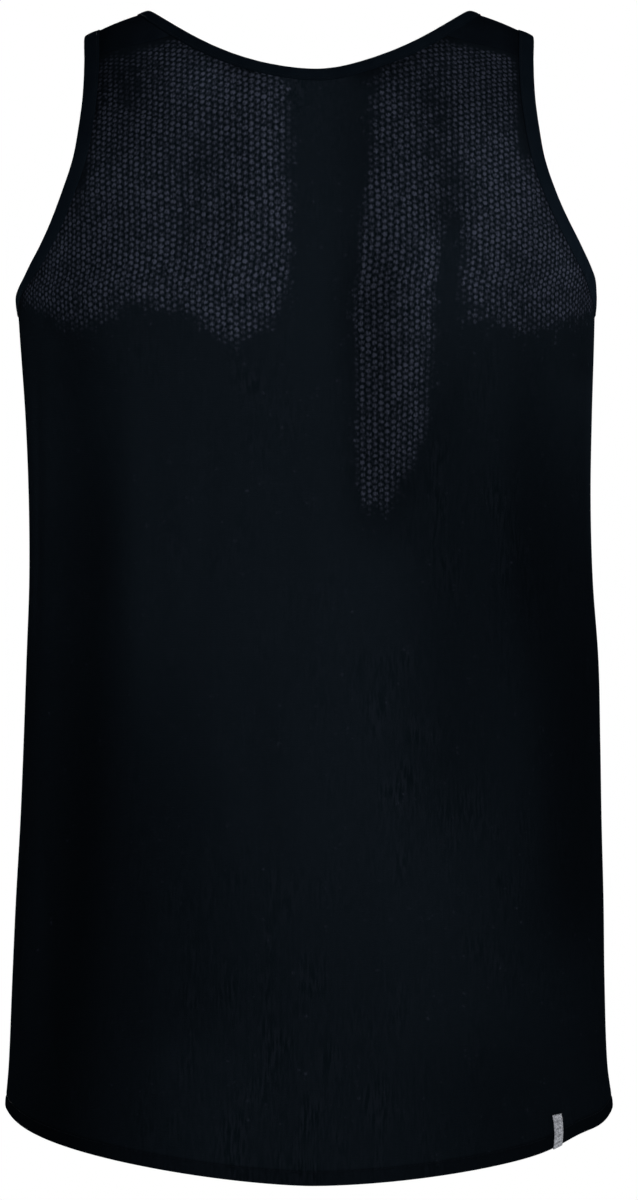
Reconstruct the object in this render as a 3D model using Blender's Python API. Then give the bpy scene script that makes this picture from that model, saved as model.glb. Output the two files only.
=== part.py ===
# Sports tank top, worn form with nobody in it: a mesh back, a plain knit front that is carried over
# the shoulders, a bound neck and armholes, and a small label folded over the hem.
# Metres, +Z up. The back faces -Y, and the wearer's right side is at +X.
# The origin lies midway between the shoulders, level with the neck binding at the top of a shoulder.

import math
from bisect import bisect_right
from collections import namedtuple

import bmesh
import bpy
from mathutils import Vector
from mathutils.geometry import delaunay_2d_cdt

for old in list(bpy.data.objects):
    bpy.data.objects.remove(old, do_unlink=True)

# Cloth and sewing
CLOTH = 0.0012
SEAM_GAP = 0.0003
BINDING_CLOTH = 0.0010
BINDING_REACH = SEAM_GAP + BINDING_CLOTH
NECK_BINDING_WIDTH = 0.0065
NECK_BINDING_AT_SEAM = 1.15
ARMHOLE_BINDING_WIDTH = 0.0090
BINDING_CROWN = 1.4

# Neck and shoulders
NECK_HALF_WIDTH = 0.098
BACK_NECK_DEPTH = 0.0427
BACK_NECK_POWER = 2.0
FRONT_NECK_DEPTH = 0.098
FRONT_NECK_POWER = 2.3
SHOULDER_TIP = 0.1375
SHOULDER_AT_NECK = -0.0010
SHOULDER_AT_TIP = -0.0168
CREST_ROUNDING = 0.050
SEAM_BELOW_CREST_AT_NECK = 0.024
SEAM_BELOW_CREST_AT_TIP = 0.019

# Armholes
UNDERARM = -0.1775
UNDERARM_ROUNDING = 0.008
FRONT_ARMHOLE_CUT_IN = 0.012

# Hem, side vents and their corners
SIDE_HEM = -0.6717
BACK_HEM_DIP = 0.0352
FRONT_HEM_DIP = 0.0210
HEM_DIP_WIDTH = 0.88
HEM_DIP_POWER = 1.6
HEM_DIP_SOFTNESS = 0.08
HEM_LEAN = 0.0012
VENT_LENGTH = 0.042
VENT_OPENING = 0.0022
HEM_CORNER_RADIUS = 0.006

# Hem label
LABEL_PLACE = 0.1515
LABEL_WIDTH = 0.0080
LABEL_LENGTH = 0.0215
LABEL_LEAN = -0.0008
LABEL_GAP = 0.0003
LABEL_CLOTH = 0.0006

# Folds: how close they come to a seam, and the shares of their length over which they start and end
SEAM_CALM = 0.030
FOLD_START = 0.30
FOLD_END = 0.25

# The mesh: size of a triangle, clear room round an edge in triangles, steps of a measured curve
TRIANGLE = 0.0175
CLEAR_OF_EDGES = 0.55
SAME_PLACE = 1e-7
CURVE_STEPS = 240
SHARP_ANGLE = math.radians(50)

# Outer half width, and depth of back and front from the side seam, at heights from the underarm down.
# Sway is how far the whole girth stands to the wearer's right, and it runs out above the underarm.
Girth = namedtuple("Girth", "height half_width back front sway")
GIRTHS = (
    Girth(-0.1775, 0.1770, 0.1200, 0.1330, -0.0018),
    Girth(-0.2020, 0.1759, 0.1200, 0.1340, -0.0012),
    Girth(-0.2510, 0.1735, 0.1165, 0.1320, -0.0002),
    Girth(-0.3000, 0.1722, 0.1115, 0.1275, 0.0004),
    Girth(-0.3490, 0.1727, 0.1085, 0.1240, 0.0012),
    Girth(-0.3985, 0.1753, 0.1090, 0.1235, 0.0021),
    Girth(-0.4475, 0.1767, 0.1120, 0.1245, 0.0018),
    Girth(-0.4965, 0.1781, 0.1145, 0.1260, 0.0012),
    Girth(-0.5460, 0.1801, 0.1160, 0.1270, 0.0004),
    Girth(-0.5950, 0.1815, 0.1170, 0.1275, -0.0004),
    Girth(-0.6440, 0.1833, 0.1180, 0.1280, -0.0006),
    Girth(-0.6720, 0.1860, 0.1185, 0.1285, 0.0000),
    Girth(-0.7100, 0.1872, 0.1185, 0.1285, 0.0000),
)
GIRTH_POWER = 2.4
SWAY_RUN_OUT = 0.016
SHOULDER_DEPTH_SHARE = 0.9

# Finished edge of the armhole: distance from the middle of the body at heights from the tip down
ArmholeStation = namedtuple("ArmholeStation", "height half_width")
ARMHOLE = (
    ArmholeStation(-0.0100, 0.1375),
    ArmholeStation(-0.0166, 0.1375),
    ArmholeStation(-0.0360, 0.1361),
    ArmholeStation(-0.0580, 0.1363),
    ArmholeStation(-0.0780, 0.1384),
    ArmholeStation(-0.0970, 0.1416),
    ArmholeStation(-0.1150, 0.1475),
    ArmholeStation(-0.1330, 0.1551),
    ArmholeStation(-0.1500, 0.1641),
    ArmholeStation(-0.1600, 0.1700),
    ArmholeStation(-0.1690, 0.1748),
    ArmholeStation(-0.1775, 0.1783),
)

# The largest folds. Across is measured over the cloth from the middle of the panel and up from the
# underarm line. A fold runs from its top to its end, and its height is negative in a trough.
Fold = namedtuple("Fold", "side across_top up_top across_end up_end width_top width_end height")
FOLDS = (
    Fold("back", 0.012, 0.150, 0.014, -0.070, 0.024, 0.016, -0.0055),
    Fold("back", 0.088, 0.100, 0.090, -0.040, 0.014, 0.014, -0.0030),
    Fold("back", 0.102, -0.005, 0.046, -0.140, 0.020, 0.012, -0.0050),
    Fold("back", 0.062, 0.060, 0.038, -0.150, 0.020, 0.012, 0.0035),
    Fold("back", -0.064, 0.110, -0.080, 0.010, 0.016, 0.016, -0.0030),
    Fold("back", -0.140, -0.020, -0.158, -0.500, 0.016, 0.034, -0.0070),
    Fold("back", -0.176, -0.010, -0.190, -0.230, 0.016, 0.014, 0.0030),
    Fold("back", 0.134, -0.015, 0.176, -0.440, 0.013, 0.026, -0.0055),
    Fold("back", 0.178, -0.010, 0.196, -0.200, 0.018, 0.014, 0.0025),
    Fold("back", -0.046, -0.200, -0.024, -0.360, 0.014, 0.016, -0.0025),
    Fold("front", 0.000, 0.080, 0.004, -0.090, 0.026, 0.030, -0.0050),
    Fold("front", 0.086, 0.000, 0.036, -0.240, 0.018, 0.022, -0.0050),
    Fold("front", -0.078, -0.040, -0.112, -0.490, 0.016, 0.030, -0.0065),
    Fold("front", 0.150, -0.015, 0.142, -0.490, 0.014, 0.030, -0.0065),
    Fold("front", -0.128, 0.085, -0.092, -0.020, 0.013, 0.014, -0.0030),
    Fold("front", -0.172, -0.020, -0.184, -0.260, 0.016, 0.016, 0.0030),
    Fold("front", 0.052, -0.280, 0.066, -0.500, 0.018, 0.028, 0.0040),
)

OTHER_SIDE = {"back": "front", "front": "back"}
FACING = {"back": -1.0, "front": 1.0}


# Curves and tables

def smooth(share):
    share = min(1.0, max(0.0, share))
    return share * share * (3.0 - 2.0 * share)


def table_value(rows, column, height):
    """A smooth curve through one column of a table whose rows run downwards."""
    heights = [row.height for row in rows]
    values = [getattr(row, column) for row in rows]
    height = min(heights[0], max(heights[-1], height))
    i = next(k for k in range(len(rows) - 1) if height >= heights[k + 1])

    def slope(k):
        before, after = max(k - 1, 0), min(k + 1, len(rows) - 1)
        return (values[after] - values[before]) / (heights[after] - heights[before])

    step = heights[i + 1] - heights[i]
    s = (height - heights[i]) / step
    start = (2 * s**3 - 3 * s**2 + 1) * values[i] + (s**3 - 2 * s**2 + s) * step * slope(i)
    end = (3 * s**2 - 2 * s**3) * values[i + 1] + (s**3 - s**2) * step * slope(i + 1)
    return start + end


def quarter_ruler(across, deep, power):
    """Lengths along a quarter of a rounded section, one for each equal step of its angle."""
    lengths, last = [0.0], (0.0, deep)
    for k in range(1, CURVE_STEPS + 1):
        angle = math.pi / 2 * k / CURVE_STEPS
        here = (across * math.sin(angle) ** (2 / power), deep * abs(math.cos(angle)) ** (2 / power))
        lengths.append(lengths[-1] + math.dist(last, here))
        last = here
    return lengths


def angle_at(ruler, length):
    k = min(max(bisect_right(ruler, length) - 1, 0), CURVE_STEPS - 1)
    share = (length - ruler[k]) / (ruler[k + 1] - ruler[k])
    return math.pi / 2 * (k + share) / CURVE_STEPS


def length_at(ruler, angle):
    place = angle / (math.pi / 2) * CURVE_STEPS
    k = min(max(int(place), 0), CURVE_STEPS - 1)
    return ruler[k] + (place - k) * (ruler[k + 1] - ruler[k])


CHEST = GIRTHS[0]
ACROSS_RULER = quarter_ruler(CHEST.half_width, (CHEST.back + CHEST.front) / 2, GIRTH_POWER)
SIDE_SEAM = ACROSS_RULER[-1]
OVER_RULER = {
    "back": quarter_ruler(-UNDERARM, CHEST.back * SHOULDER_DEPTH_SHARE, 2),
    "front": quarter_ruler(-UNDERARM, CHEST.front * SHOULDER_DEPTH_SHARE, 2),
}
CREST = {side: ruler[-1] for side, ruler in OVER_RULER.items()}


# The form of the cloth: a place on the flat pattern gives a place on its outer face

def crest_height(x):
    """Height of the top of the shoulder, which runs on inside the neck as a shoulder would."""
    at_neck, at_tip = (math.hypot(reach, CREST_ROUNDING) for reach in (NECK_HALF_WIDTH, SHOULDER_TIP))
    slope = (SHOULDER_AT_TIP - SHOULDER_AT_NECK) / (at_tip - at_neck)
    return SHOULDER_AT_NECK + slope * (math.hypot(x, CREST_ROUNDING) - at_neck)


def across_from_x(x):
    share = min(1.0, abs(x) / CHEST.half_width)
    angle = math.asin(share ** (GIRTH_POWER / 2))
    return math.copysign(length_at(ACROSS_RULER, angle), x)


def own_side(side, across, up):
    """Cloth that passes a side seam or the top of the shoulder goes on down the other side."""
    if abs(across) > SIDE_SEAM:
        side, across = OTHER_SIDE[side], math.copysign(2 * SIDE_SEAM - abs(across), across)
    if up > CREST[side]:
        up, side = CREST[OTHER_SIDE[side]] - (up - CREST[side]), OTHER_SIDE[side]
    return side, across, up


def smooth_form(side, across, up):
    side, across, up = own_side(side, across, up)
    angle = angle_at(ACROSS_RULER, abs(across))
    wide = math.copysign(math.sin(angle) ** (2 / GIRTH_POWER), across)
    deep = FACING[side] * max(0.0, math.cos(angle)) ** (2 / GIRTH_POWER)
    if up <= 0:
        z = UNDERARM + up
        x = wide * table_value(GIRTHS, "half_width", z) + table_value(GIRTHS, "sway", z)
        return Vector((x, deep * table_value(GIRTHS, side, z), z))
    turn = angle_at(OVER_RULER[side], up)
    x = wide * CHEST.half_width + CHEST.sway * smooth(1.0 - up / SWAY_RUN_OUT)
    z = UNDERARM + (crest_height(x) - UNDERARM) * math.sin(turn)
    return Vector((x, deep * getattr(CHEST, side) * math.cos(turn), z))


def facing_out(place, side, across, up, step=0.0012):
    """The outward normal of a form at a place on the pattern."""
    along = place(side, across + step, up) - place(side, across - step, up)
    upward = place(side, across, up + step) - place(side, across, up - step)
    return (along.cross(upward) * -FACING[side]).normalized()


def fold_height(side, across, up):
    side, across, up = own_side(side, across, up)
    height = 0.0
    for fold in FOLDS:
        share = (fold.up_top - up) / (fold.up_top - fold.up_end)
        if fold.side != side or not 0.0 < share < 1.0:
            continue
        middle = fold.across_top + share * (fold.across_end - fold.across_top)
        width = fold.width_top + share * (fold.width_end - fold.width_top)
        ends = smooth(share / FOLD_START) * smooth((1.0 - share) / FOLD_END)
        height += fold.height * ends * math.exp(-(((across - middle) / width) ** 2))
    beside_seam = smooth((SIDE_SEAM - abs(across)) / SEAM_CALM)
    below_crest = smooth((CREST[side] - up) / (2 * SEAM_CALM))
    return height * beside_seam * below_crest


def outer_face(side, across, up):
    out = facing_out(smooth_form, side, across, up)
    return smooth_form(side, across, up) + fold_height(side, across, up) * out


def evenly(side, curve, start, end, count):
    """Places at equal distances over the cloth along a curve on the pattern, both ends included."""
    places = [curve(start + (end - start) * k / CURVE_STEPS) for k in range(CURVE_STEPS + 1)]
    points = [smooth_form(side, *place) for place in places]
    run = [0.0]
    for a, b in zip(points, points[1:]):
        run.append(run[-1] + (b - a).length)
    chosen = []
    for k in range(count + 1):
        wanted = run[-1] * k / count
        i = min(max(bisect_right(run, wanted) - 1, 0), CURVE_STEPS - 1)
        share = (wanted - run[i]) / (run[i + 1] - run[i])
        chosen.append(tuple(a + share * (b - a) for a, b in zip(places[i], places[i + 1])))
    return chosen


# The edges of the pattern pieces, right half

def neck_height(face, x):
    """Height of the cloth's neck edge, which lies under the binding's fold."""
    half = NECK_HALF_WIDTH + BINDING_REACH
    if face == "back":
        depth, power = BACK_NECK_DEPTH, BACK_NECK_POWER
    else:
        depth, power = FRONT_NECK_DEPTH, FRONT_NECK_POWER
    return crest_height(half) - (depth + BINDING_REACH) * (1.0 - (abs(x) / half) ** power)


def height_to_up(face, x, z):
    rise = min(1.0, (z - UNDERARM) / (crest_height(x) - UNDERARM))
    return length_at(OVER_RULER[face], math.asin(rise))


def seam_height(x):
    """Height of the shoulder seam, which lies behind the top of the shoulder."""
    share = (x - NECK_HALF_WIDTH) / (SHOULDER_TIP - NECK_HALF_WIDTH)
    return crest_height(x) - (
        SEAM_BELOW_CREST_AT_NECK + share * (SEAM_BELOW_CREST_AT_TIP - SEAM_BELOW_CREST_AT_NECK)
    )


def neck_corner():
    """Where the shoulder seam meets the back neckline, as a distance from the middle."""
    low, high = 0.0, NECK_HALF_WIDTH
    for _ in range(40):
        middle = (low + high) / 2
        if neck_height("back", middle) < seam_height(middle):
            low = middle
        else:
            high = middle
    return low


NECK_CORNER = neck_corner()


def over_crest(side, face, up):
    """Up on the face of the body as up on the pattern of a panel that may reach over the shoulder."""
    return up if face == side else CREST[side] + CREST[face] - up


def neck_place(side, turn):
    """Neck edge of a panel: turn 0 at the middle, a right angle at the top of the shoulder."""
    face = side if turn <= math.pi / 2 else OTHER_SIDE[side]
    x = (NECK_HALF_WIDTH + BINDING_REACH) * math.sin(turn)
    up = height_to_up(face, x, neck_height(face, x))
    return across_from_x(x), over_crest(side, face, up)


def armhole_edge(face, turn):
    """x and z of the cloth's armhole edge where the body's profile has turned so far."""
    z = UNDERARM
    for _ in range(8):
        x = table_value(ARMHOLE, "half_width", z) - BINDING_REACH
        if face == "front":
            share = (z - UNDERARM) / (SHOULDER_AT_TIP - UNDERARM)
            x -= FRONT_ARMHOLE_CUT_IN * math.sin(math.pi * min(1.0, share)) ** 2
        z = UNDERARM + (crest_height(x) - UNDERARM) * math.sin(turn)
    side_share = smooth((z - UNDERARM) / UNDERARM_ROUNDING)
    return CHEST.half_width + (x - CHEST.half_width) * side_share, z


def armhole_place(side, climb):
    face = side if climb <= math.pi / 2 else OTHER_SIDE[side]
    turn = climb if face == side else math.pi - climb
    x, _ = armhole_edge(face, turn)
    return across_from_x(x), over_crest(side, face, length_at(OVER_RULER[face], turn))


def seam_turn(x):
    return math.asin((seam_height(x) - UNDERARM) / (crest_height(x) - UNDERARM))


def armhole_seam_turn():
    turn = 1.0
    for _ in range(12):
        turn = seam_turn(armhole_edge("back", turn)[0])
    return turn


ARMHOLE_SEAM_TURN = armhole_seam_turn()
ARMHOLE_CORNER = armhole_edge("back", ARMHOLE_SEAM_TURN)[0]


def seam_place(side, x):
    """The shoulder seam, with each panel's edge half the seam gap short of it."""
    up = length_at(OVER_RULER["back"], seam_turn(x)) - SEAM_GAP / 2 * -FACING[side]
    return across_from_x(x), over_crest(side, "back", up)


def hem_up(side, across):
    """The hem, which dips in the middle and runs level near the sides."""
    dip = BACK_HEM_DIP if side == "back" else FRONT_HEM_DIP
    share = abs(across) / SIDE_SEAM / HEM_DIP_WIDTH
    fall = 1.0 - share**HEM_DIP_POWER
    return SIDE_HEM - UNDERARM - dip * (fall + math.hypot(fall, HEM_DIP_SOFTNESS)) / 2


def leaning(place):
    """The hem hangs a little lower on the wearer's right."""
    across, up = place
    return across, up - HEM_LEAN * math.sin(math.pi * across / SIDE_SEAM)


def side_edge(up):
    """Side seam of a panel, which stands open along the vent."""
    below = SIDE_HEM - UNDERARM + VENT_LENGTH - up
    return SIDE_SEAM - SEAM_GAP / 2 - VENT_OPENING * smooth(below / VENT_LENGTH)


# A pattern piece

HEM_STEPS = 16
SIDE_STEPS = 25
NECK_STEPS = {"back": 8, "front": 17}
ARMHOLE_STEPS = {"back": 11, "front": 15}
LABEL_STEPS = 2


def inward(side, edge, k, width):
    """The place a width in from an edge of the pattern, square to the edge on the cloth."""
    before, here, after = edge[max(k - 1, 0)], edge[k], edge[min(k + 1, len(edge) - 1)]
    tangent = (smooth_form(side, *after) - smooth_form(side, *before)).normalized()
    step = 0.0005
    along = (smooth_form(side, here[0] + step, here[1]) - smooth_form(side, *here)) / step
    upward = (smooth_form(side, here[0], here[1] + step) - smooth_form(side, *here)) / step
    square = along.cross(upward).cross(tangent).normalized()
    a, b, c, d = along.dot(square), upward.dot(square), along.dot(tangent), upward.dot(tangent)
    spread = a * d - b * c
    return here[0] + width * d / spread, here[1] - width * c / spread


def inside(place, outline):
    x, y = place
    within = False
    for (ax, ay), (bx, by) in zip(outline, outline[1:] + outline[:1]):
        if (ay > y) != (by > y) and x < ax + (y - ay) / (by - ay) * (bx - ax):
            within = not within
    return within


def middle_of(places, face):
    return tuple(sum(places[i][k] for i in face) / len(face) for k in (0, 1))


def distance_to(place, a, b):
    line = Vector(b) - Vector(a)
    share = (Vector(place) - Vector(a)).dot(line) / line.length_squared
    return (Vector(a) + line * min(1.0, max(0.0, share)) - Vector(place)).length


def half_outline(side):
    """Edges of the right half of a panel, from the middle of the hem round to the middle of the neck."""
    corner = side_edge(hem_up(side, SIDE_SEAM)) - HEM_CORNER_RADIUS
    hem = [(corner * k / HEM_STEPS, hem_up(side, corner * k / HEM_STEPS)) for k in range(HEM_STEPS + 1)]
    if side == "back":
        hem = [place for place in hem if abs(place[0] - LABEL_PLACE) > LABEL_WIDTH]
        label = (LABEL_PLACE - LABEL_WIDTH / 2, LABEL_PLACE + LABEL_WIDTH / 2)
        hem = sorted(hem + [(across, hem_up(side, across)) for across in label])
    low = hem[-1][1]
    for turn in (math.pi / 6, math.pi / 3, math.pi / 2):
        hem.append((
            corner + HEM_CORNER_RADIUS * math.sin(turn),
            low + HEM_CORNER_RADIUS * (1.0 - math.cos(turn)),
        ))
    start = hem[-1][1]
    rise = -ARMHOLE_BINDING_WIDTH - start
    seam = [start + rise * k / SIDE_STEPS for k in range(1, SIDE_STEPS + 1)]
    seam = [(side_edge(up), up) for up in seam] + [(SIDE_SEAM - SEAM_GAP / 2, 0.0)]

    top = ARMHOLE_SEAM_TURN if side == "back" else math.pi - ARMHOLE_SEAM_TURN
    armhole = evenly(side, lambda climb: armhole_place(side, climb), 0.0, top, ARMHOLE_STEPS[side])
    armhole[0], armhole[-1] = seam[-1], seam_place(side, ARMHOLE_CORNER)

    past = math.asin(NECK_CORNER / (NECK_HALF_WIDTH + BINDING_REACH))
    last = past if side == "back" else math.pi - past
    neck = evenly(side, lambda turn: neck_place(side, turn), last, 0.0, NECK_STEPS[side])
    neck[0] = seam_place(side, NECK_CORNER)

    inner = ARMHOLE_CORNER - ARMHOLE_BINDING_WIDTH
    outer = NECK_CORNER + NECK_BINDING_WIDTH * NECK_BINDING_AT_SEAM
    shoulder = [seam_place(side, x) for x in (inner, (inner + outer) / 2, outer)]
    return hem, seam, armhole, shoulder, neck


def mirrored(places):
    return [(-across, up) for across, up in reversed(places)]


def lattice(edges, lines):
    """Staggered rows of places inside a pattern piece, clear of its edges and drawn lines."""
    row_step = TRIANGLE * math.sqrt(3) / 2
    lowest, highest = min(up for _, up in edges), max(up for _, up in edges)
    columns = int(SIDE_SEAM / TRIANGLE) + 1
    chosen = []
    for row in range(int((highest - lowest) / row_step) + 1):
        for column in range(-columns, columns + 1):
            place = ((column + 0.5 * (row % 2)) * TRIANGLE, lowest + row * row_step)
            near = min(distance_to(place, a, b) for a, b in lines)
            if near > CLEAR_OF_EDGES * TRIANGLE and inside(place, edges):
                chosen.append(place)
    return chosen


Panel = namedtuple("Panel", "side places points normals faces chains")


def cut_panel(side):
    """A pattern piece, its edges, and the triangles that its cloth is made of."""
    hem, seam, armhole, shoulder, neck = half_outline(side)
    places, chains = [], {}

    def draw(name, new):
        start = [len(places) - 1] if places else []
        chains[name] = start + list(range(len(places), len(places) + len(new)))
        places.extend(new)

    draw("hem", [leaning(place) for place in mirrored(hem)[:-1] + hem])
    draw("side right", seam)
    draw("armhole right", armhole[1:])
    draw("shoulder right", shoulder + [neck[0]])
    draw("neck", neck[1:] + mirrored(neck)[1:])
    draw("shoulder left", mirrored(shoulder) + [mirrored(armhole)[0]])
    draw("armhole left", mirrored(armhole)[1:])
    draw("side left", mirrored(seam)[1:])
    chains["side left"].append(0)
    outline = list(range(len(places)))
    fixed = []

    def draw_inside(name, chain):
        chains[name] = chain
        fixed.extend(zip(chain, chain[1:]))

    def line_inside(name, edge_name, width, first, last):
        edge = [places[i] for i in chains[edge_name]]
        new = [inward(side, edge, k, width) for k in range(1, len(edge) - 1)]
        start = len(places)
        places.extend(new)
        draw_inside(name, [first, *range(start, len(places)), last])

    line_inside("armhole right inner", "armhole right", ARMHOLE_BINDING_WIDTH,
                chains["side right"][-2], chains["shoulder right"][1])
    line_inside("armhole left inner", "armhole left", ARMHOLE_BINDING_WIDTH,
                chains["shoulder left"][-2], chains["side left"][1])
    line_inside("neck inner", "neck", NECK_BINDING_WIDTH,
                chains["shoulder right"][-2], chains["shoulder left"][1])
    if side == "back":
        chains["label hem"] = [i for i in chains["hem"] if abs(places[i][0] - LABEL_PLACE) < LABEL_WIDTH]
        sides = []
        for foot in chains["label hem"]:
            across, up = places[foot]
            start = len(places)
            for k in range(1, LABEL_STEPS + 1):
                share = k / LABEL_STEPS
                places.append((across + LABEL_LEAN * share, up + LABEL_LENGTH * share))
            sides.append([foot, *range(start, len(places))])
        draw_inside("label", sides[0] + sides[1][::-1])

    edges = [places[i] for i in outline]
    lines = list(zip(edges, edges[1:] + edges[:1])) + [(places[a], places[b]) for a, b in fixed]
    places += lattice(edges, lines)
    _, _, faces, sources, _, _ = delaunay_2d_cdt(
        [Vector(place) for place in places], fixed, [outline], 1, SAME_PLACE, True
    )
    source = [ids[0] for ids in sources]
    faces = [tuple(source[i] for i in face) for face in faces]
    faces = [face for face in faces if inside(middle_of(places, face), edges)]
    if side == "front":
        faces = [face[::-1] for face in faces]
    points = [outer_face(side, *place) for place in places]
    normals = [facing_out(outer_face, side, *place) for place in places]
    return Panel(side, places, points, normals, faces, {**chains, "outline": outline})


# Solids

def new_node(name, vertices, faces, material):
    mesh = bpy.data.meshes.new(name)
    mesh.from_pydata([tuple(v) for v in vertices], [], faces)
    work = bmesh.new()
    work.from_mesh(mesh)
    loose = [v for v in work.verts if not v.link_faces]
    bmesh.ops.delete(work, geom=loose, context="VERTS")
    bmesh.ops.recalc_face_normals(work, faces=work.faces)
    work.to_mesh(mesh)
    work.free()
    mesh.shade_smooth()
    mesh.set_sharp_from_angle(angle=SHARP_ANGLE)
    mesh.materials.append(material)
    node = bpy.data.objects.new(name, mesh)
    bpy.context.scene.collection.objects.link(node)
    return node


def shell(outer, inner, faces):
    """Both faces of a wall and the rim that closes it along the edges that one triangle has."""
    shift = len(outer)
    solid = [tuple(face) for face in faces]
    solid += [tuple(i + shift for i in reversed(face)) for face in faces]
    directed = {(a, b) for face in faces for a, b in zip(face, face[1:] + face[:1])}
    for a, b in sorted(directed):
        if (b, a) not in directed:
            solid.append((b, a, a + shift))
            solid.append((b, a + shift, b + shift))
    return outer + inner, solid


def panel_node(name, panel, material):
    inner = [p - n * CLOTH for p, n in zip(panel.points, panel.normals)]
    vertices, faces = shell(list(panel.points), inner, panel.faces)
    return new_node(name, vertices, faces, material)


def faces_between(panel, outline):
    """Triangles of a panel whose middle lies in an outline drawn on its pattern."""
    drawn = [panel.places[i] for i in outline]
    return [face for face in panel.faces if inside(middle_of(panel.places, face), drawn)]


def folded_over(name, strips, joins, closed, gap, cloth, material):
    """A strip of cloth folded over a panel's edge, made of the panel's own triangles moved out and in.

    Each strip has a panel, its triangles and the chain of points along its edge. Joins pairs the
    points of two strips that meet at a seam.
    """
    merged = {}
    for (first, a), (second, b) in joins:
        merged[second, b] = (first, a)
    places, normals, index = [], [], {}
    for s, (panel, faces, chain) in enumerate(strips):
        for i in sorted({i for face in faces for i in face}):
            if (s, i) not in merged:
                index[s, i] = len(places)
                places.append(panel.points[i].copy())
                normals.append(panel.normals[i].copy())
    for (s, i), other in merged.items():
        index[s, i] = index[other]
        places[index[other]] = (places[index[other]] + strips[s][0].points[i]) / 2
        normals[index[other]] = (normals[index[other]] + strips[s][0].normals[i]).normalized()

    leg = [tuple(index[s, i] for i in face) for s, (_, faces, _) in enumerate(strips) for face in faces]
    edge = []
    for s, (_, _, chain) in enumerate(strips):
        edge += [index[s, i] for i in chain if index[s, i] not in edge]
    beside = {}
    for face in leg:
        for i in face:
            beside.setdefault(i, []).append(sum((places[k] for k in face), Vector()) / 3)

    beyond = {}
    for k, i in enumerate(edge):
        ends = (k - 1, k + 1 - len(edge)) if closed else (max(k - 1, 0), min(k + 1, len(edge) - 1))
        tangent = places[edge[ends[1]]] - places[edge[ends[0]]]
        away = normals[i].cross(tangent).normalized()
        body = sum(beside[i], Vector()) / len(beside[i]) - places[i]
        beyond[i] = away if away.dot(body) < 0 else -away

    count = len(places)
    far, near = [], []
    for i, (p, n) in enumerate(zip(places, normals)):
        shift = beyond[i] * gap if i in beyond else Vector()
        far.append(p + shift + n * (gap + cloth))
        near.append(p + shift + n * gap)
    for i, (p, n) in enumerate(zip(places, normals)):
        shift = beyond[i] * gap if i in beyond else Vector()
        far.append(p + shift - n * (CLOTH + gap + cloth))
        near.append(p + shift - n * (CLOTH + gap))
    crown = {}
    for i in edge:
        crown[i] = len(far)
        middle = places[i] - normals[i] * CLOTH / 2
        far.append(middle + beyond[i] * (gap + cloth))
        near.append(middle + beyond[i] * gap * BINDING_CROWN)

    sheet = leg + [tuple(i + count for i in reversed(face)) for face in leg]
    steps = list(zip(edge, edge[1:] + edge[:1] if closed else edge[1:]))
    directed = {(a, b) for face in leg for a, b in zip(face, face[1:] + face[:1])}
    for a, b in steps:
        if (a, b) not in directed:
            a, b = b, a
        over, under = crown[a], crown[b]
        sheet += [(b, a, over), (b, over, under), (under, over, a + count), (under, a + count, b + count)]
    vertices, faces = shell(far, near, sheet)
    return new_node(name, vertices, faces, material)


def cloth_material(name, colour, roughness):
    material = bpy.data.materials.new(name)
    material.use_nodes = True
    shader = material.node_tree.nodes["Principled BSDF"]
    shader.inputs["Base Color"].default_value = (*colour, 1.0)
    shader.inputs["Roughness"].default_value = roughness
    shader.inputs["Metallic"].default_value = 0.0
    material.diffuse_color = (*colour, 1.0)
    return material


back = cut_panel("back")
front = cut_panel("front")
panel_node("back_panel", back, cloth_material("eyelet mesh", (0.010, 0.013, 0.020), 0.70))
panel_node("front_panel", front, cloth_material("plain knit", (0.006, 0.008, 0.012), 0.75))


def edge_strip(panel, edge, inner):
    chain = panel.chains[edge]
    return panel, faces_between(panel, chain + panel.chains[inner][::-1]), chain


def binding(name, edge, inner, ends, colour):
    """A binding round an opening that both panels share: ends says which points meet at each seam."""
    strips = [edge_strip(back, edge, inner), edge_strip(front, edge, inner)]
    strips[1] = (*strips[1][:2], strips[1][2][::-1])
    joins = []
    for end in ends:
        for chain in (edge, inner):
            joins.append(((0, back.chains[chain][end]), (1, front.chains[chain][end])))
    folded_over(name, strips, joins, True, SEAM_GAP, BINDING_CLOTH, cloth_material(name, colour, 0.72))


BINDING_COLOUR = (0.005, 0.007, 0.010)
binding("neck_binding", "neck", "neck inner", (0, -1), BINDING_COLOUR)
binding("armhole_binding_right", "armhole right", "armhole right inner", (0, -1), BINDING_COLOUR)
binding("armhole_binding_left", "armhole left", "armhole left inner", (0, -1), BINDING_COLOUR)

label_strip = (back, faces_between(back, back.chains["label"]), back.chains["label hem"])
label_cloth = cloth_material("label weave", (0.36, 0.37, 0.40), 0.60)
folded_over("hem_label", [label_strip], [], False, LABEL_GAP, LABEL_CLOTH, label_cloth)
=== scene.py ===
import math
from collections import namedtuple

import bpy
import numpy as np
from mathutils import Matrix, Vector
from mathutils.geometry import delaunay_2d_cdt


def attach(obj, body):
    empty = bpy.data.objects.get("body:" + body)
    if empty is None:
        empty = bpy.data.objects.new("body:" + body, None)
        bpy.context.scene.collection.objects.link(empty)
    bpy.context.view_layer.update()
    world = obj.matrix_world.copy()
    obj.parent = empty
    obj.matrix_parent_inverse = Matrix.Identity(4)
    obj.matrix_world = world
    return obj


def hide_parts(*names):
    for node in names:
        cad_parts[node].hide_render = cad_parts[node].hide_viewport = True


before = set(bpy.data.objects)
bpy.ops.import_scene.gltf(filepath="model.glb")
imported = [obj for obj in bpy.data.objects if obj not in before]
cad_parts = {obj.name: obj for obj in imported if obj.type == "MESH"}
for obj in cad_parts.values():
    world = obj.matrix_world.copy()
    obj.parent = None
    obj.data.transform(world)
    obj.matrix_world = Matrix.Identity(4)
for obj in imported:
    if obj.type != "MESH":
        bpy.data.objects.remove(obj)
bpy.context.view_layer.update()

bpy.ops.object.select_all(action="DESELECT")


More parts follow.
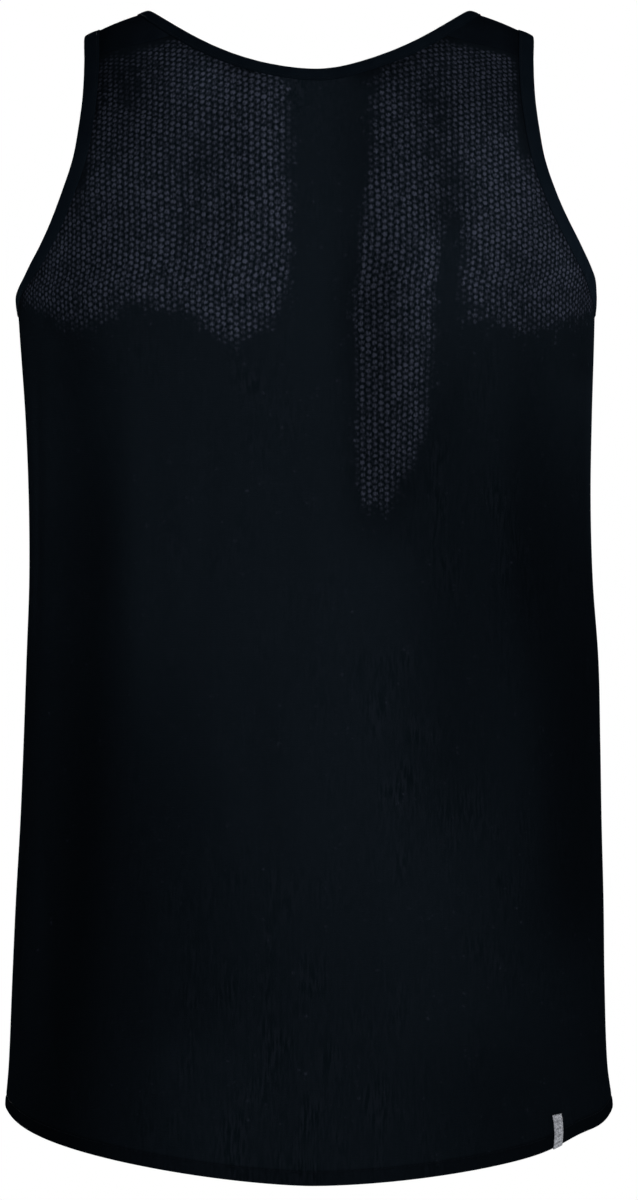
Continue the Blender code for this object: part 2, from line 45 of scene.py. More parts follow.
# Camera, floor and light. The camera is level with the middle of the garment, three metres behind the
# wearer's back. Soft lamps light back and front aslant, with weaker ones at the sides and overhead. The
# floor is where a wearer's feet would be, and the camera sees it evenly pale.
PIXEL = 0.000614
PHOTO_HEIGHT = 1200
SENSOR = 36.0
CAMERA_PLACE = (0.0061, -3.0, -0.3616)
FLOOR_HEIGHT = -1.45
FLOOR_RADIUS = 5.0
FLOOR_SIDES = 128
FLOOR_COLOUR = (0.78, 0.78, 0.77, 1.0)
FLOOR_ROUGHNESS = 0.9
FLOOR_GLOW = 0.13
FLOOR_SEEN_PALE = 0.60
ROOM_COLOUR = (1.0, 1.0, 1.0, 1.0)
ROOM_LIGHT = 0.10

bpy.ops.object.camera_add(location=CAMERA_PLACE, rotation=(math.pi / 2, 0.0, 0.0))
camera = bpy.context.object
camera.data.sensor_width = SENSOR
camera.data.lens = SENSOR * -CAMERA_PLACE[1] / (PIXEL * PHOTO_HEIGHT)
bpy.context.scene.camera = camera
bpy.context.scene.view_settings.view_transform = "Standard"


def table(columns, *rows):
    """The rows of a table as tuples with named columns."""
    kind = namedtuple("Row", columns)
    return [kind(*row) for row in rows]


LAMPS = table(
    "name place aim wide tall power",
    ("overhead_lamp", (0.0, -0.60, 1.90), (0.0, -0.05, -0.15), 1.8, 1.1, 4.0),
    ("back_lamp", (1.35, -2.80, 0.45), (0.0, 0.0, -0.35), 1.2, 1.2, 58.0),
    ("front_lamp", (-1.35, 2.80, 0.45), (0.0, 0.0, -0.35), 1.2, 1.2, 70.0),
    ("left_lamp", (-2.6, 1.0, 0.2), (0.0, 0.0, -0.40), 0.8, 1.8, 13.0),
    ("right_lamp", (2.6, 1.0, 0.2), (0.0, 0.0, -0.40), 0.8, 1.8, 13.0),
)
for lamp in LAMPS:
    bpy.ops.object.light_add(type="AREA", location=lamp.place)
    light = bpy.context.object
    light.name = lamp.name
    light.rotation_euler = (Vector(lamp.aim) - Vector(lamp.place)).to_track_quat("-Z", "Y").to_euler()
    light.data.shape = "RECTANGLE"
    light.data.size = lamp.wide
    light.data.size_y = lamp.tall
    light.data.energy = lamp.power


def camera_sees(tree, lit, seen, share, output):
    """The camera sees the second shader by that share. All else meets the first."""
    ray = tree.nodes.new("ShaderNodeLightPath")
    part = tree.nodes.new("ShaderNodeMath")
    part.operation = "MULTIPLY"
    part.inputs[1].default_value = share
    tree.links.new(ray.outputs["Is Camera Ray"], part.inputs[0])
    mixed = tree.nodes.new("ShaderNodeMixShader")
    tree.links.new(part.outputs[0], mixed.inputs["Fac"])
    tree.links.new(lit.outputs[0], mixed.inputs[1])
    tree.links.new(seen.outputs[0], mixed.inputs[2])
    tree.links.new(mixed.outputs[0], output.inputs["Surface"])


room = bpy.data.worlds.new("pale_room")
bpy.context.scene.world = room
room.use_nodes = True
sky = room.node_tree
lit = sky.nodes["Background"]
seen = sky.nodes.new("ShaderNodeBackground")
lit.inputs["Color"].default_value = ROOM_COLOUR
lit.inputs["Strength"].default_value = ROOM_LIGHT
seen.inputs["Color"].default_value = ROOM_COLOUR
camera_sees(sky, lit, seen, 1.0, sky.nodes["World Output"])

bpy.ops.mesh.primitive_circle_add(
    vertices=FLOOR_SIDES, radius=FLOOR_RADIUS, fill_type="NGON", location=(0.0, 0.0, FLOOR_HEIGHT)
)
floor = bpy.context.object
floor.name = "pale_floor"
paint = bpy.data.materials.new("pale_floor_paint")
paint.use_nodes = True
nodes = paint.node_tree.nodes
lit = nodes["Principled BSDF"]
lit.inputs["Base Color"].default_value = FLOOR_COLOUR
lit.inputs["Roughness"].default_value = FLOOR_ROUGHNESS
lit.inputs["Emission Color"].default_value = FLOOR_COLOUR
lit.inputs["Emission Strength"].default_value = FLOOR_GLOW
seen = nodes.new("ShaderNodeEmission")
seen.inputs["Color"].default_value = FLOOR_COLOUR
camera_sees(paint.node_tree, lit, seen, FLOOR_SEEN_PALE, nodes["Material Output"])
floor.data.materials.append(paint)
bpy.ops.object.select_all(action="DESELECT")


# Back panel. It is one piece of polyester eyelet mesh, cut from the neck to the hem and sewn to the
# front at the sides and behind the shoulders. Its hem is turned up 9 mm and stitched down. Worn, it
# stretches over the shoulder blades, where the mesh opens, and hangs closed and in soft folds below.
CLOTH = 0.0009
SEAM_GAP = 0.0003
BINDING_REACH = 0.0013
NECK_HALF_WIDTH = 0.098
NECK_DEPTH = {"back": 0.0427, "front": 0.098}
NECK_POWER = {"back": 2.0, "front": 2.3}
SHOULDER_TIP = 0.1375
SHOULDER_AT_NECK = -0.0010
SHOULDER_AT_TIP = -0.0168
CREST_ROUNDING = 0.050
CREST_BOW = 0.0012
SEAM_BELOW_CREST_AT_NECK = 0.024
SEAM_BELOW_CREST_AT_TIP = 0.019
UNDERARM = -0.1775
FRONT_ARMHOLE_CUT_IN = 0.012
SIDE_HEM = -0.6717
HEM_DIP = {"back": 0.0352, "front": 0.0210}
HEM_DIP_WIDTH = 0.88
HEM_DIP_POWER = 1.6
HEM_DIP_SOFTNESS = 0.08
HEM_LEAN = 0.0012
HEM_HITCH = {"back": 0.0030, "front": 0.0}
HEM_HITCH_PLACE = 0.168
HEM_HITCH_WIDTH = 0.022
HEM_CORNER_RADIUS = 0.006
VENT_LENGTH = 0.042
VENT_OPENING = 0.0022
GIRTH_POWER = 2.4
SWAY_RUN_OUT = 0.016
ARMHOLE_SWAY = 0.0011
ARMHOLE_SWAY_PLACE = 0.036
ARMHOLE_SWAY_WIDTH = 0.022
SHOULDER_DEPTH_SHARE = 0.9
CURVE_STEPS = 960
ARMHOLE_ROUNDS = 8
CORNER_ROUNDS = 12
NECK_TRIALS = 4001

OTHER_SIDE = {"back": "front", "front": "back"}
FACING = {"back": -1.0, "front": 1.0}

# Outer half width, depth of back and front from the side seam, and sway to the wearer's right.
GIRTHS = table(
    "height half_width back front sway",
    (-0.1775, 0.1770, 0.1200, 0.1330, -0.0018),
    (-0.2020, 0.1759, 0.1200, 0.1340, -0.0012),
    (-0.2510, 0.1735, 0.1165, 0.1320, -0.0002),
    (-0.3000, 0.1722, 0.1115, 0.1275, 0.0004),
    (-0.3490, 0.1727, 0.1085, 0.1240, 0.0012),
    (-0.3985, 0.1753, 0.1090, 0.1235, 0.0021),
    (-0.4475, 0.1767, 0.1120, 0.1245, 0.0018),
    (-0.4965, 0.1781, 0.1145, 0.1260, 0.0012),
    (-0.5460, 0.1801, 0.1160, 0.1270, 0.0004),
    (-0.5950, 0.1815, 0.1170, 0.1275, -0.0004),
    (-0.6440, 0.1833, 0.1180, 0.1280, -0.0006),
    (-0.6720, 0.1860, 0.1185, 0.1285, 0.0000),
    (-0.7100, 0.1872, 0.1185, 0.1285, 0.0000),
)

# Finished edge of the armhole: distance from the middle of the body at heights from the tip down.
ARMHOLE = table(
    "height half_width",
    (-0.0100, 0.1375),
    (-0.0166, 0.1375),
    (-0.0360, 0.1361),
    (-0.0580, 0.1363),
    (-0.0780, 0.1384),
    (-0.0970, 0.1416),
    (-0.1150, 0.1475),
    (-0.1330, 0.1551),
    (-0.1500, 0.1641),
    (-0.1600, 0.1700),
    (-0.1690, 0.1748),
    (-0.1775, 0.1783),
)

# A band runs down the cloth. Across is measured over the cloth from the middle of the panel and up from
# the underarm line. The amount of a fold is its height, negative in a trough. These are the largest folds.
BAND = "across_top up_top across_end up_end width_top width_end amount"
FOLDS = {
    "back": table(
        BAND,
        (0.012, 0.150, 0.014, -0.070, 0.024, 0.016, -0.0055),
        (0.088, 0.100, 0.090, -0.040, 0.014, 0.014, -0.0030),
        (0.102, -0.005, 0.046, -0.140, 0.020, 0.012, -0.0050),
        (0.062, 0.060, 0.038, -0.150, 0.020, 0.012, 0.0035),
        (-0.064, 0.110, -0.080, 0.010, 0.016, 0.016, -0.0030),
        (-0.140, -0.020, -0.158, -0.500, 0.016, 0.034, -0.0070),
        (-0.176, -0.010, -0.190, -0.230, 0.016, 0.014, 0.0030),
        (0.134, -0.015, 0.176, -0.440, 0.013, 0.026, -0.0055),
        (0.178, -0.010, 0.196, -0.200, 0.018, 0.014, 0.0025),
        (-0.046, -0.200, -0.024, -0.360, 0.014, 0.016, -0.0025),
    ),
    "front": table(
        BAND,
        (0.000, 0.080, 0.004, -0.090, 0.026, 0.030, -0.0050),
        (0.086, 0.000, 0.036, -0.240, 0.018, 0.022, -0.0050),
        (-0.078, -0.040, -0.112, -0.490, 0.016, 0.030, -0.0065),
        (0.150, -0.015, 0.142, -0.490, 0.014, 0.030, -0.0065),
        (-0.128, 0.085, -0.092, -0.020, 0.013, 0.014, -0.0030),
        (-0.172, -0.020, -0.184, -0.260, 0.016, 0.016, 0.0030),
        (0.052, -0.280, 0.066, -0.500, 0.018, 0.028, 0.0040),
    ),
}
SEAM_CALM = 0.030
FOLD_START = 0.30
FOLD_END = 0.25

# Finer creases in any direction. Bow is how far the middle of a crease stands aside.
CREASE = "across_top up_top across_end up_end bow width height"
CREASES = {
    "back": table(
        CREASE,
        (-0.128, 0.134, -0.062, 0.104, 0.006, 0.0080, -0.0016),
        (-0.066, 0.108, -0.070, 0.020, -0.022, 0.0090, -0.0016),
        (-0.112, 0.100, -0.150, 0.006, 0.008, 0.0100, 0.0012),
        (-0.030, 0.090, -0.040, -0.020, 0.004, 0.0100, 0.0012),
        (0.078, 0.122, 0.074, 0.094, 0.000, 0.0110, -0.0018),
        (0.120, 0.110, 0.146, 0.004, -0.006, 0.0100, 0.0012),
        (0.050, 0.100, 0.046, 0.010, 0.003, 0.0090, 0.0010),
        (-0.200, 0.004, -0.110, -0.060, 0.006, 0.0090, -0.0012),
        (0.204, 0.002, 0.120, -0.070, -0.006, 0.0090, -0.0012),
        (-0.108, -0.020, -0.104, -0.300, 0.006, 0.0110, 0.0016),
        (-0.062, -0.060, -0.074, -0.220, -0.004, 0.0090, -0.0008),
        (0.012, -0.060, 0.004, -0.250, 0.005, 0.0120, 0.0012),
        (0.128, -0.030, 0.146, -0.250, 0.003, 0.0060, -0.0014),
        (0.108, -0.060, 0.118, -0.330, -0.004, 0.0100, 0.0010),
        (0.072, -0.200, 0.090, -0.400, 0.004, 0.0090, -0.0009),
        (0.030, -0.260, 0.044, -0.500, -0.006, 0.0120, 0.0012),
        (-0.090, -0.330, -0.080, -0.510, 0.006, 0.0120, 0.0014),
        (-0.030, -0.380, -0.012, -0.530, 0.002, 0.0120, -0.0012),
        (0.104, -0.390, 0.098, -0.520, 0.004, 0.0110, -0.0013),
        (-0.204, -0.200, -0.196, -0.480, 0.006, 0.0110, 0.0016),
        (0.206, -0.160, 0.198, -0.430, -0.006, 0.0110, 0.0014),
        (-0.182, -0.300, -0.140, -0.520, 0.010, 0.0080, -0.0010),
    ),
    "front": table(
        CREASE,
        (-0.120, 0.124, -0.070, 0.040, -0.010, 0.0090, 0.0012),
        (0.116, 0.120, 0.070, 0.020, 0.012, 0.0090, -0.0014),
        (0.060, 0.060, 0.020, -0.060, 0.004, 0.0100, 0.0012),
        (-0.050, 0.030, -0.030, -0.120, -0.006, 0.0100, -0.0012),
        (-0.200, 0.002, -0.100, -0.080, 0.010, 0.0090, -0.0014),
        (0.200, 0.002, 0.110, -0.090, -0.010, 0.0100, -0.0014),
        (-0.140, -0.050, -0.150, -0.330, 0.006, 0.0100, 0.0014),
        (0.110, -0.080, 0.118, -0.360, -0.004, 0.0110, 0.0014),
        (-0.040, -0.180, -0.060, -0.400, 0.004, 0.0110, 0.0010),
        (0.012, -0.300, 0.004, -0.500, 0.006, 0.0120, -0.0014),
        (0.190, -0.200, 0.196, -0.460, 0.004, 0.0110, 0.0014),
        (-0.196, -0.260, -0.204, -0.480, 0.004, 0.0110, -0.0012),
        (-0.010, -0.420, -0.020, -0.520, 0.002, 0.0120, 0.0012),
    ),
}


def smooth(share):
    share = np.clip(share, 0.0, 1.0)
    return share * share * (3.0 - 2.0 * share)


def unit(vectors):
    return vectors / np.linalg.norm(vectors, axis=-1, keepdims=True)


def running_total(steps):
    return np.concatenate([[0.0], np.cumsum(steps)])


def run_along(points):
    """How far along a line each of its points lies."""
    return running_total(np.linalg.norm(np.diff(points, axis=0), axis=1))


def curve_through(rows, column, at):
    """A smooth curve through one column of a table whose rows run downwards, read at many heights."""
    heights = np.array([row.height for row in rows])[::-1]
    values = np.array([getattr(row, column) for row in rows])[::-1]
    slopes = np.empty_like(values)
    slopes[1:-1] = (values[2:] - values[:-2]) / (heights[2:] - heights[:-2])
    slopes[0] = (values[1] - values[0]) / (heights[1] - heights[0])
    slopes[-1] = (values[-1] - values[-2]) / (heights[-1] - heights[-2])
    at = np.clip(at, heights[0], heights[-1])
    i = np.clip(np.searchsorted(heights, at, side="right") - 1, 0, len(heights) - 2)
    step = heights[i + 1] - heights[i]
    s = (at - heights[i]) / step
    start = (2 * s**3 - 3 * s**2 + 1) * values[i] + (s**3 - 2 * s**2 + s) * step * slopes[i]
    end = (3 * s**2 - 2 * s**3) * values[i + 1] + (s**3 - s**2) * step * slopes[i + 1]
    return start + end


TURNS = np.linspace(0.0, math.pi / 2, CURVE_STEPS + 1)


def quarter_ruler(across, deep, power):
    """Lengths along a quarter of a rounded section, one for each of the turns."""
    x = across * np.sin(TURNS) ** (2 / power)
    y = deep * np.abs(np.cos(TURNS)) ** (2 / power)
    return running_total(np.hypot(np.diff(x), np.diff(y)))


CHEST = GIRTHS[0]
ACROSS_RULER = quarter_ruler(CHEST.half_width, (CHEST.back + CHEST.front) / 2, GIRTH_POWER)
SIDE_SEAM = float(ACROSS_RULER[-1])
OVER_RULER = {
    "back": quarter_ruler(-UNDERARM, CHEST.back * SHOULDER_DEPTH_SHARE, 2),
    "front": quarter_ruler(-UNDERARM, CHEST.front * SHOULDER_DEPTH_SHARE, 2),
}
CREST = {side: ruler[-1] for side, ruler in OVER_RULER.items()}
OVER_SHOULDER = CREST["back"] + CREST["front"]


def crest_height(x):
    """Height of the top of the shoulder, which bows a little between the neck and the tip."""
    at_neck = math.hypot(NECK_HALF_WIDTH, CREST_ROUNDING)
    at_tip = math.hypot(SHOULDER_TIP, CREST_ROUNDING)
    slope = (SHOULDER_AT_TIP - SHOULDER_AT_NECK) / (at_tip - at_neck)
    share = np.clip((np.abs(x) - NECK_HALF_WIDTH) / (SHOULDER_TIP - NECK_HALF_WIDTH), 0.0, 1.0)
    bow = CREST_BOW * np.sin(math.pi * share)
    return SHOULDER_AT_NECK + slope * (np.hypot(x, CREST_ROUNDING) - at_neck) + bow


def across_from_x(x):
    share = np.minimum(1.0, np.abs(x) / CHEST.half_width)
    angle = np.arcsin(share ** (GIRTH_POWER / 2))
    return np.copysign(np.interp(angle, TURNS, ACROSS_RULER), x)


def own_face(side, across, up):
    """Cloth that passes a side seam or the top of the shoulder goes on down the other side."""
    across, up = np.broadcast_arrays(np.asarray(across, float), np.asarray(up, float))
    back = np.full(across.shape, side == "back")
    past = np.abs(across) > SIDE_SEAM
    back = back ^ past
    across = np.where(past, np.copysign(2 * SIDE_SEAM - np.abs(across), across), across)
    over = up > np.where(back, CREST["back"], CREST["front"])
    up = np.where(over, OVER_SHOULDER - up, up)
    return back ^ over, across, up


def plain_form(side, across, up):
    """Outer face of the cloth without its folds, at places on a panel's pattern."""
    back, across, up = own_face(side, across, up)
    angle = np.interp(np.abs(across), ACROSS_RULER, TURNS)
    wide = np.copysign(np.sin(angle) ** (2 / GIRTH_POWER), across)
    deep = np.where(back, -1.0, 1.0) * np.maximum(0.0, np.cos(angle)) ** (2 / GIRTH_POWER)
    z = UNDERARM + up
    low_x = wide * curve_through(GIRTHS, "half_width", z) + curve_through(GIRTHS, "sway", z)
    low_y = deep * np.where(back, curve_through(GIRTHS, "back", z), curve_through(GIRTHS, "front", z))
    back_turn, front_turn = (np.interp(up, OVER_RULER[own], TURNS) for own in ("back", "front"))
    turn = np.where(back, back_turn, front_turn)
    armhole_sway = ARMHOLE_SWAY * np.exp(-(((up - ARMHOLE_SWAY_PLACE) / ARMHOLE_SWAY_WIDTH) ** 2))
    high_x = wide * CHEST.half_width + CHEST.sway * smooth(1.0 - up / SWAY_RUN_OUT) + armhole_sway
    high_y = deep * np.where(back, CHEST.back, CHEST.front) * np.cos(turn)
    high_z = UNDERARM + (crest_height(high_x) - UNDERARM) * np.sin(turn)
    low = np.stack([low_x, low_y, z], axis=-1)
    return np.where(up[..., None] <= 0, low, np.stack([high_x, high_y, high_z], axis=-1))


def facing_out(form, side, across, up, step=0.0012):
    """Outward normals of a form at places on a panel's pattern."""
    along = form(side, across + step, up) - form(side, across - step, up)
    upward = form(side, across, up + step) - form(side, across, up - step)
    return unit(np.cross(along, upward)) * -FACING[side]


def ends_of(share):
    """How much of a fold is left at a share of its length: it rises and runs out softly."""
    return smooth(share / FOLD_START) * smooth((1.0 - share) / FOLD_END)


def soft_bands(bands, back, across, up):
    """The sum of soft bands that run down the cloth, at places on the back or the front."""
    total = np.zeros(across.shape)
    for side, rows in bands.items():
        for band in rows:
            share = (band.up_top - up) / (band.up_top - band.up_end)
            middle = band.across_top + share * (band.across_end - band.across_top)
            width = band.width_top + share * (band.width_end - band.width_top)
            here = (back == (side == "back")) & (share > 0.0) & (share < 1.0)
            aside = (across - middle) / np.where(here, width, 1.0)
            total += np.where(here, band.amount * ends_of(share) * np.exp(-(aside**2)), 0.0)
    return total


def fold_height(side, across, up):
    """How far the folds and creases stand out of the plain form."""
    back, across, up = own_face(side, across, up)
    height = soft_bands(FOLDS, back, across, up)
    for own, rows in CREASES.items():
        for crease in rows:
            run_across = crease.across_end - crease.across_top
            run_up = crease.up_end - crease.up_top
            length = math.hypot(run_across, run_up)
            from_top, over = across - crease.across_top, up - crease.up_top
            share = (from_top * run_across + over * run_up) / length**2
            aside = (from_top * run_up - over * run_across) / length
            aside = (aside - crease.bow * 4.0 * share * (1.0 - share)) / crease.width
            rise = crease.height * ends_of(share) * np.exp(-(aside**2))
            height += np.where(back == (own == "back"), rise, 0.0)
    beside_seam = smooth((SIDE_SEAM - np.abs(across)) / SEAM_CALM)
    below_crest = smooth((np.where(back, CREST["back"], CREST["front"]) - up) / (2 * SEAM_CALM))
    return height * beside_seam * below_crest


def cloth_face(side, across, up):
    """Outer face of the worn cloth at places on a panel's pattern."""
    out = facing_out(plain_form, side, across, up)
    return plain_form(side, across, up) + fold_height(side, across, up)[..., None] * out


def neck_height(side, x):
    """Height of the cloth's neck edge, which lies under the binding's fold."""
    half = NECK_HALF_WIDTH + BINDING_REACH
    depth = NECK_DEPTH[side] + BINDING_REACH
    return crest_height(half) - depth * (1.0 - (np.abs(x) / half) ** NECK_POWER[side])


def height_to_up(side, x, z):
    rise = np.minimum(1.0, (z - UNDERARM) / (crest_height(x) - UNDERARM))
    return np.interp(np.arcsin(rise), TURNS, OVER_RULER[side])


def neck_edge(side, turn):
    """The neck edge on a panel's pattern: turn 0 at its middle, a right angle at a shoulder's top."""
    x = (NECK_HALF_WIDTH + BINDING_REACH) * np.sin(turn)
    other = OTHER_SIDE[side]
    own = height_to_up(side, x, neck_height(side, x))
    far = OVER_SHOULDER - height_to_up(other, x, neck_height(other, x))
    return np.stack([across_from_x(x), np.where(np.abs(turn) <= math.pi / 2, own, far)], axis=-1)


def armhole_x(side, turn):
    """How far the cloth's armhole edge is from the middle where the body's profile has turned so far. Its
    height and its distance depend on each other, so they are settled in a few rounds."""
    z = np.full(np.shape(turn), UNDERARM)
    for _ in range(ARMHOLE_ROUNDS):
        x = curve_through(ARMHOLE, "half_width", z) - BINDING_REACH
        if side == "front":
            share = np.minimum(1.0, (z - UNDERARM) / (SHOULDER_AT_TIP - UNDERARM))
            x = x - FRONT_ARMHOLE_CUT_IN * np.sin(math.pi * share) ** 2
        z = UNDERARM + (crest_height(x) - UNDERARM) * np.sin(turn)
    return np.minimum(x, CHEST.half_width)


def armhole_edge(side, climb):
    """The armhole edge on a panel's pattern, from the underarm over the shoulder to the other side."""
    other = OTHER_SIDE[side]
    own = climb <= math.pi / 2
    turn = np.where(own, climb, math.pi - climb)
    x = np.where(own, armhole_x(side, turn), armhole_x(other, turn))
    near = np.interp(turn, TURNS, OVER_RULER[side])
    far = OVER_SHOULDER - np.interp(turn, TURNS, OVER_RULER[other])
    return np.stack([across_from_x(x), np.where(own, near, far)], axis=-1)


def seam_height(x):
    """Height of the shoulder seam, which lies behind the top of the shoulder."""
    share = (x - NECK_HALF_WIDTH) / (SHOULDER_TIP - NECK_HALF_WIDTH)
    below = SEAM_BELOW_CREST_AT_NECK + share * (SEAM_BELOW_CREST_AT_TIP - SEAM_BELOW_CREST_AT_NECK)
    return crest_height(x) - below


def seam_turn(x):
    return np.arcsin((seam_height(x) - UNDERARM) / (crest_height(x) - UNDERARM))


# Where the shoulder seam meets the armhole and the neck, on the back.
ARMHOLE_SEAM_TURN = 1.0
for _ in range(CORNER_ROUNDS):
    ARMHOLE_SEAM_TURN = float(seam_turn(armhole_x("back", np.array(ARMHOLE_SEAM_TURN))))
ARMHOLE_CORNER = float(armhole_x("back", np.array(ARMHOLE_SEAM_TURN)))
reaches = np.linspace(0.0, NECK_HALF_WIDTH, NECK_TRIALS)
NECK_CORNER = float(reaches[np.argmax(neck_height("back", reaches) >= seam_height(reaches))])


def seam_place(side, x):
    """The shoulder seam, with each panel's edge half the seam gap short of it."""
    up = np.interp(seam_turn(x), TURNS, OVER_RULER["back"]) + SEAM_GAP / 2 * FACING[side]
    if side == "front":
        up = OVER_SHOULDER - up
    return np.stack([across_from_x(x), up], axis=-1)


def hem_line(side, across):
    """The hem dips in the middle and hangs lower on the wearer's right, where the back's is hitched up."""
    fall = 1.0 - (np.abs(across) / SIDE_SEAM / HEM_DIP_WIDTH) ** HEM_DIP_POWER
    level = SIDE_HEM - UNDERARM - HEM_DIP[side] * (fall + np.hypot(fall, HEM_DIP_SOFTNESS)) / 2
    hitch = HEM_HITCH[side] * np.exp(-(((across - HEM_HITCH_PLACE) / HEM_HITCH_WIDTH) ** 2))
    return level + hitch - HEM_LEAN * np.sin(math.pi * across / SIDE_SEAM)


def side_edge(up):
    """Side seam of a panel, which stands open along the vent."""
    below = SIDE_HEM - UNDERARM + VENT_LENGTH - up
    return SIDE_SEAM - SEAM_GAP / 2 - VENT_OPENING * smooth(below / VENT_LENGTH)


EDGE_STEP = 0.0026
TRIANGLE = 0.0034
EDGE_ROWS = (0.0009, 0.0021)
OFF_HEM = 0.0001
EDGE_DROP = 0.00035
EDGE_DROP_REACH = 0.0007
CORNER_STEPS = 6
RIM_BULGE = 0.00040
WITHIN_OUTLINE = 1
SAME_PLACE = 1e-8
HEM_BAND = 0.0090
HEM_STITCH_LINE = 0.0078
HEM_ROWS = (
    0.0004, 0.0010, 0.0020, 0.0034, 0.0052, 0.0066, 0.0071, 0.0075,
    0.0078, 0.0081, 0.0085, 0.0089, 0.0093, 0.0099, 0.0114,
)
HEM_PUFF = 0.00030
HEM_PUFF_RUN_OUT = 0.002
HEM_GROOVE = 0.00034
HEM_GROOVE_WIDTH = 0.00055
HEM_PUCKER = 0.00018
HEM_PUCKER_WIDTH = 0.005
HEM_PUCKERS = table("length start", (0.0091, 0.1), (0.012467, 0.4), (0.006461, 0.7))
TURNED_UP = 0.0009
TURNED_UP_EDGE = 0.0005


def even_turns(side, curve, start, end, step, fineness=1):
    """Turns of a curve on the pattern at equal steps over the cloth, both ends included, and its length."""
    turns = np.linspace(start, end, fineness * CURVE_STEPS + 1)
    run = run_along(plain_form(side, *curve(side, turns).T))
    count = math.ceil(run[-1] / step)
    return np.interp(np.linspace(0.0, run[-1], count + 1), run, turns), float(run[-1])


def along_curve(side, curve, start, end):
    """Places at equal steps over the cloth along a curve on the pattern, both ends included."""
    return curve(side, even_turns(side, curve, start, end, EDGE_STEP)[0])


def panel_outline(side):
    """The edge of a panel once round, from the left end of the hem and up its right side."""
    corner = side_edge(hem_line(side, SIDE_SEAM)) - HEM_CORNER_RADIUS
    across = np.linspace(0.0, corner, math.ceil(corner / EDGE_STEP) + 1)
    across = np.concatenate([-across[:0:-1], across])
    hem = np.stack([across, hem_line(side, across)], axis=-1)
    turns = np.linspace(0.0, math.pi / 2, CORNER_STEPS + 1)[1:, None]
    bend = hem[-1] + HEM_CORNER_RADIUS * np.concatenate([np.sin(turns), 1.0 - np.cos(turns)], axis=1)
    rise = np.linspace(bend[-1, 1], 0.0, math.ceil(-bend[-1, 1] / EDGE_STEP) + 1)[1:]
    seam = np.stack([side_edge(rise), rise], axis=-1)
    top = ARMHOLE_SEAM_TURN if side == "back" else math.pi - ARMHOLE_SEAM_TURN
    armhole = along_curve(side, armhole_edge, 0.0, top)[1:]
    armhole[-1] = seam_place(side, ARMHOLE_CORNER)
    past = math.asin(NECK_CORNER / (NECK_HALF_WIDTH + BINDING_REACH))
    neck = along_curve(side, neck_edge, past if side == "back" else math.pi - past, 0.0)
    width = ARMHOLE_CORNER - NECK_CORNER
    reach = np.linspace(ARMHOLE_CORNER, NECK_CORNER, math.ceil(width / EDGE_STEP) + 1)[1:]
    half = np.concatenate([bend, seam, armhole, seam_place(side, reach), neck[1:-1]])
    return np.concatenate([hem, half, neck[-1:], (half * (-1.0, 1.0))[::-1]])


def inside(places, outline):
    """Which places lie within an outline."""
    within = np.zeros(len(places), bool)
    x, y = places.T
    for (ax, ay), (bx, by) in zip(outline, np.roll(outline, -1, axis=0)):
        if ay != by:
            within ^= ((ay > y) != (by > y)) & (x < ax + (y - ay) / (by - ay) * (bx - ax))
    return within


CHUNK = 64


def nearest(places, others):
    """Distance of each place to the nearest of the others."""
    best = np.full(len(places), np.inf)
    for chunk in np.array_split(others, max(1, len(others) // CHUNK)):
        apart = np.hypot(places[:, None, 0] - chunk[:, 0], places[:, None, 1] - chunk[:, 1])
        best = np.minimum(best, apart.min(axis=1))
    return best


def panel_places(side):
    """A panel's outline, places on its pattern in rows and a lattice, and how far each is set back."""
    outline = panel_outline(side)
    ahead = np.roll(outline, -1, axis=0) - np.roll(outline, 1, axis=0)
    inwards = unit(np.stack([-ahead[:, 1], ahead[:, 0]], axis=-1))
    above = outline[:, 1] - hem_line(side, outline[:, 0])
    placed = [(outline, 0.0)]
    for reach in EDGE_ROWS:
        beside = (outline + reach * inwards)[above > HEM_CORNER_RADIUS]
        placed.append((beside, reach))
    across = np.linspace(-SIDE_SEAM, SIDE_SEAM, math.ceil(2 * SIDE_SEAM / EDGE_STEP))
    for rise in HEM_ROWS:
        row = np.stack([across, hem_line(side, across) + rise], axis=-1)
        row = row[inside(row, outline)]
        row = row[nearest(row, outline[above > OFF_HEM]) > 1.5 * EDGE_ROWS[0]]
        if rise > 2 * EDGE_ROWS[-1]:
            row = row[nearest(row, beside) > EDGE_ROWS[0]]
        placed.append((row, rise))
    row_step = TRIANGLE * math.sqrt(3) / 2
    low, high = outline[:, 1].min(), outline[:, 1].max()
    last = int(SIDE_SEAM / TRIANGLE) + 1
    column, row = np.meshgrid(np.arange(-last, last + 1), np.arange(int((high - low) / row_step) + 1))
    across = (column + 0.5 * (row % 2)) * TRIANGLE
    grid = np.stack([across, low + row * row_step], axis=-1).reshape(-1, 2)
    grid = grid[grid[:, 1] - hem_line(side, grid[:, 0]) > HEM_ROWS[-1] + TRIANGLE / 2]
    grid = grid[inside(grid, outline)]
    placed.append((grid[nearest(grid, outline) > EDGE_ROWS[-1] + TRIANGLE / 2], math.inf))
    drops = []
    for row, reach in placed:
        drops.append(np.full(len(row), EDGE_DROP * math.exp(-((reach / EDGE_DROP_REACH) ** 2))))
    return outline, np.concatenate([row for row, _ in placed]), np.concatenate(drops)


def wander(along, waves):
    """An uneven wave made of a few plain ones."""
    return sum(np.sin(2 * math.pi * (along / wave.length + wave.start)) for wave in waves) / len(waves)


def hem_relief(side, across, up):
    """The turned-up hem from outside: a slight swelling, the groove of its stitches and their puckers."""
    rise = up - hem_line(side, across)
    over = rise - HEM_STITCH_LINE
    swelling = HEM_PUFF * smooth(rise / HEM_PUFF_RUN_OUT) * smooth(-over / HEM_PUFF_RUN_OUT)
    groove = HEM_GROOVE * np.exp(-((over / HEM_GROOVE_WIDTH) ** 2))
    puckers = HEM_PUCKER * wander(across, HEM_PUCKERS) * np.exp(-((over / HEM_PUCKER_WIDTH) ** 2))
    return swelling - groove + puckers


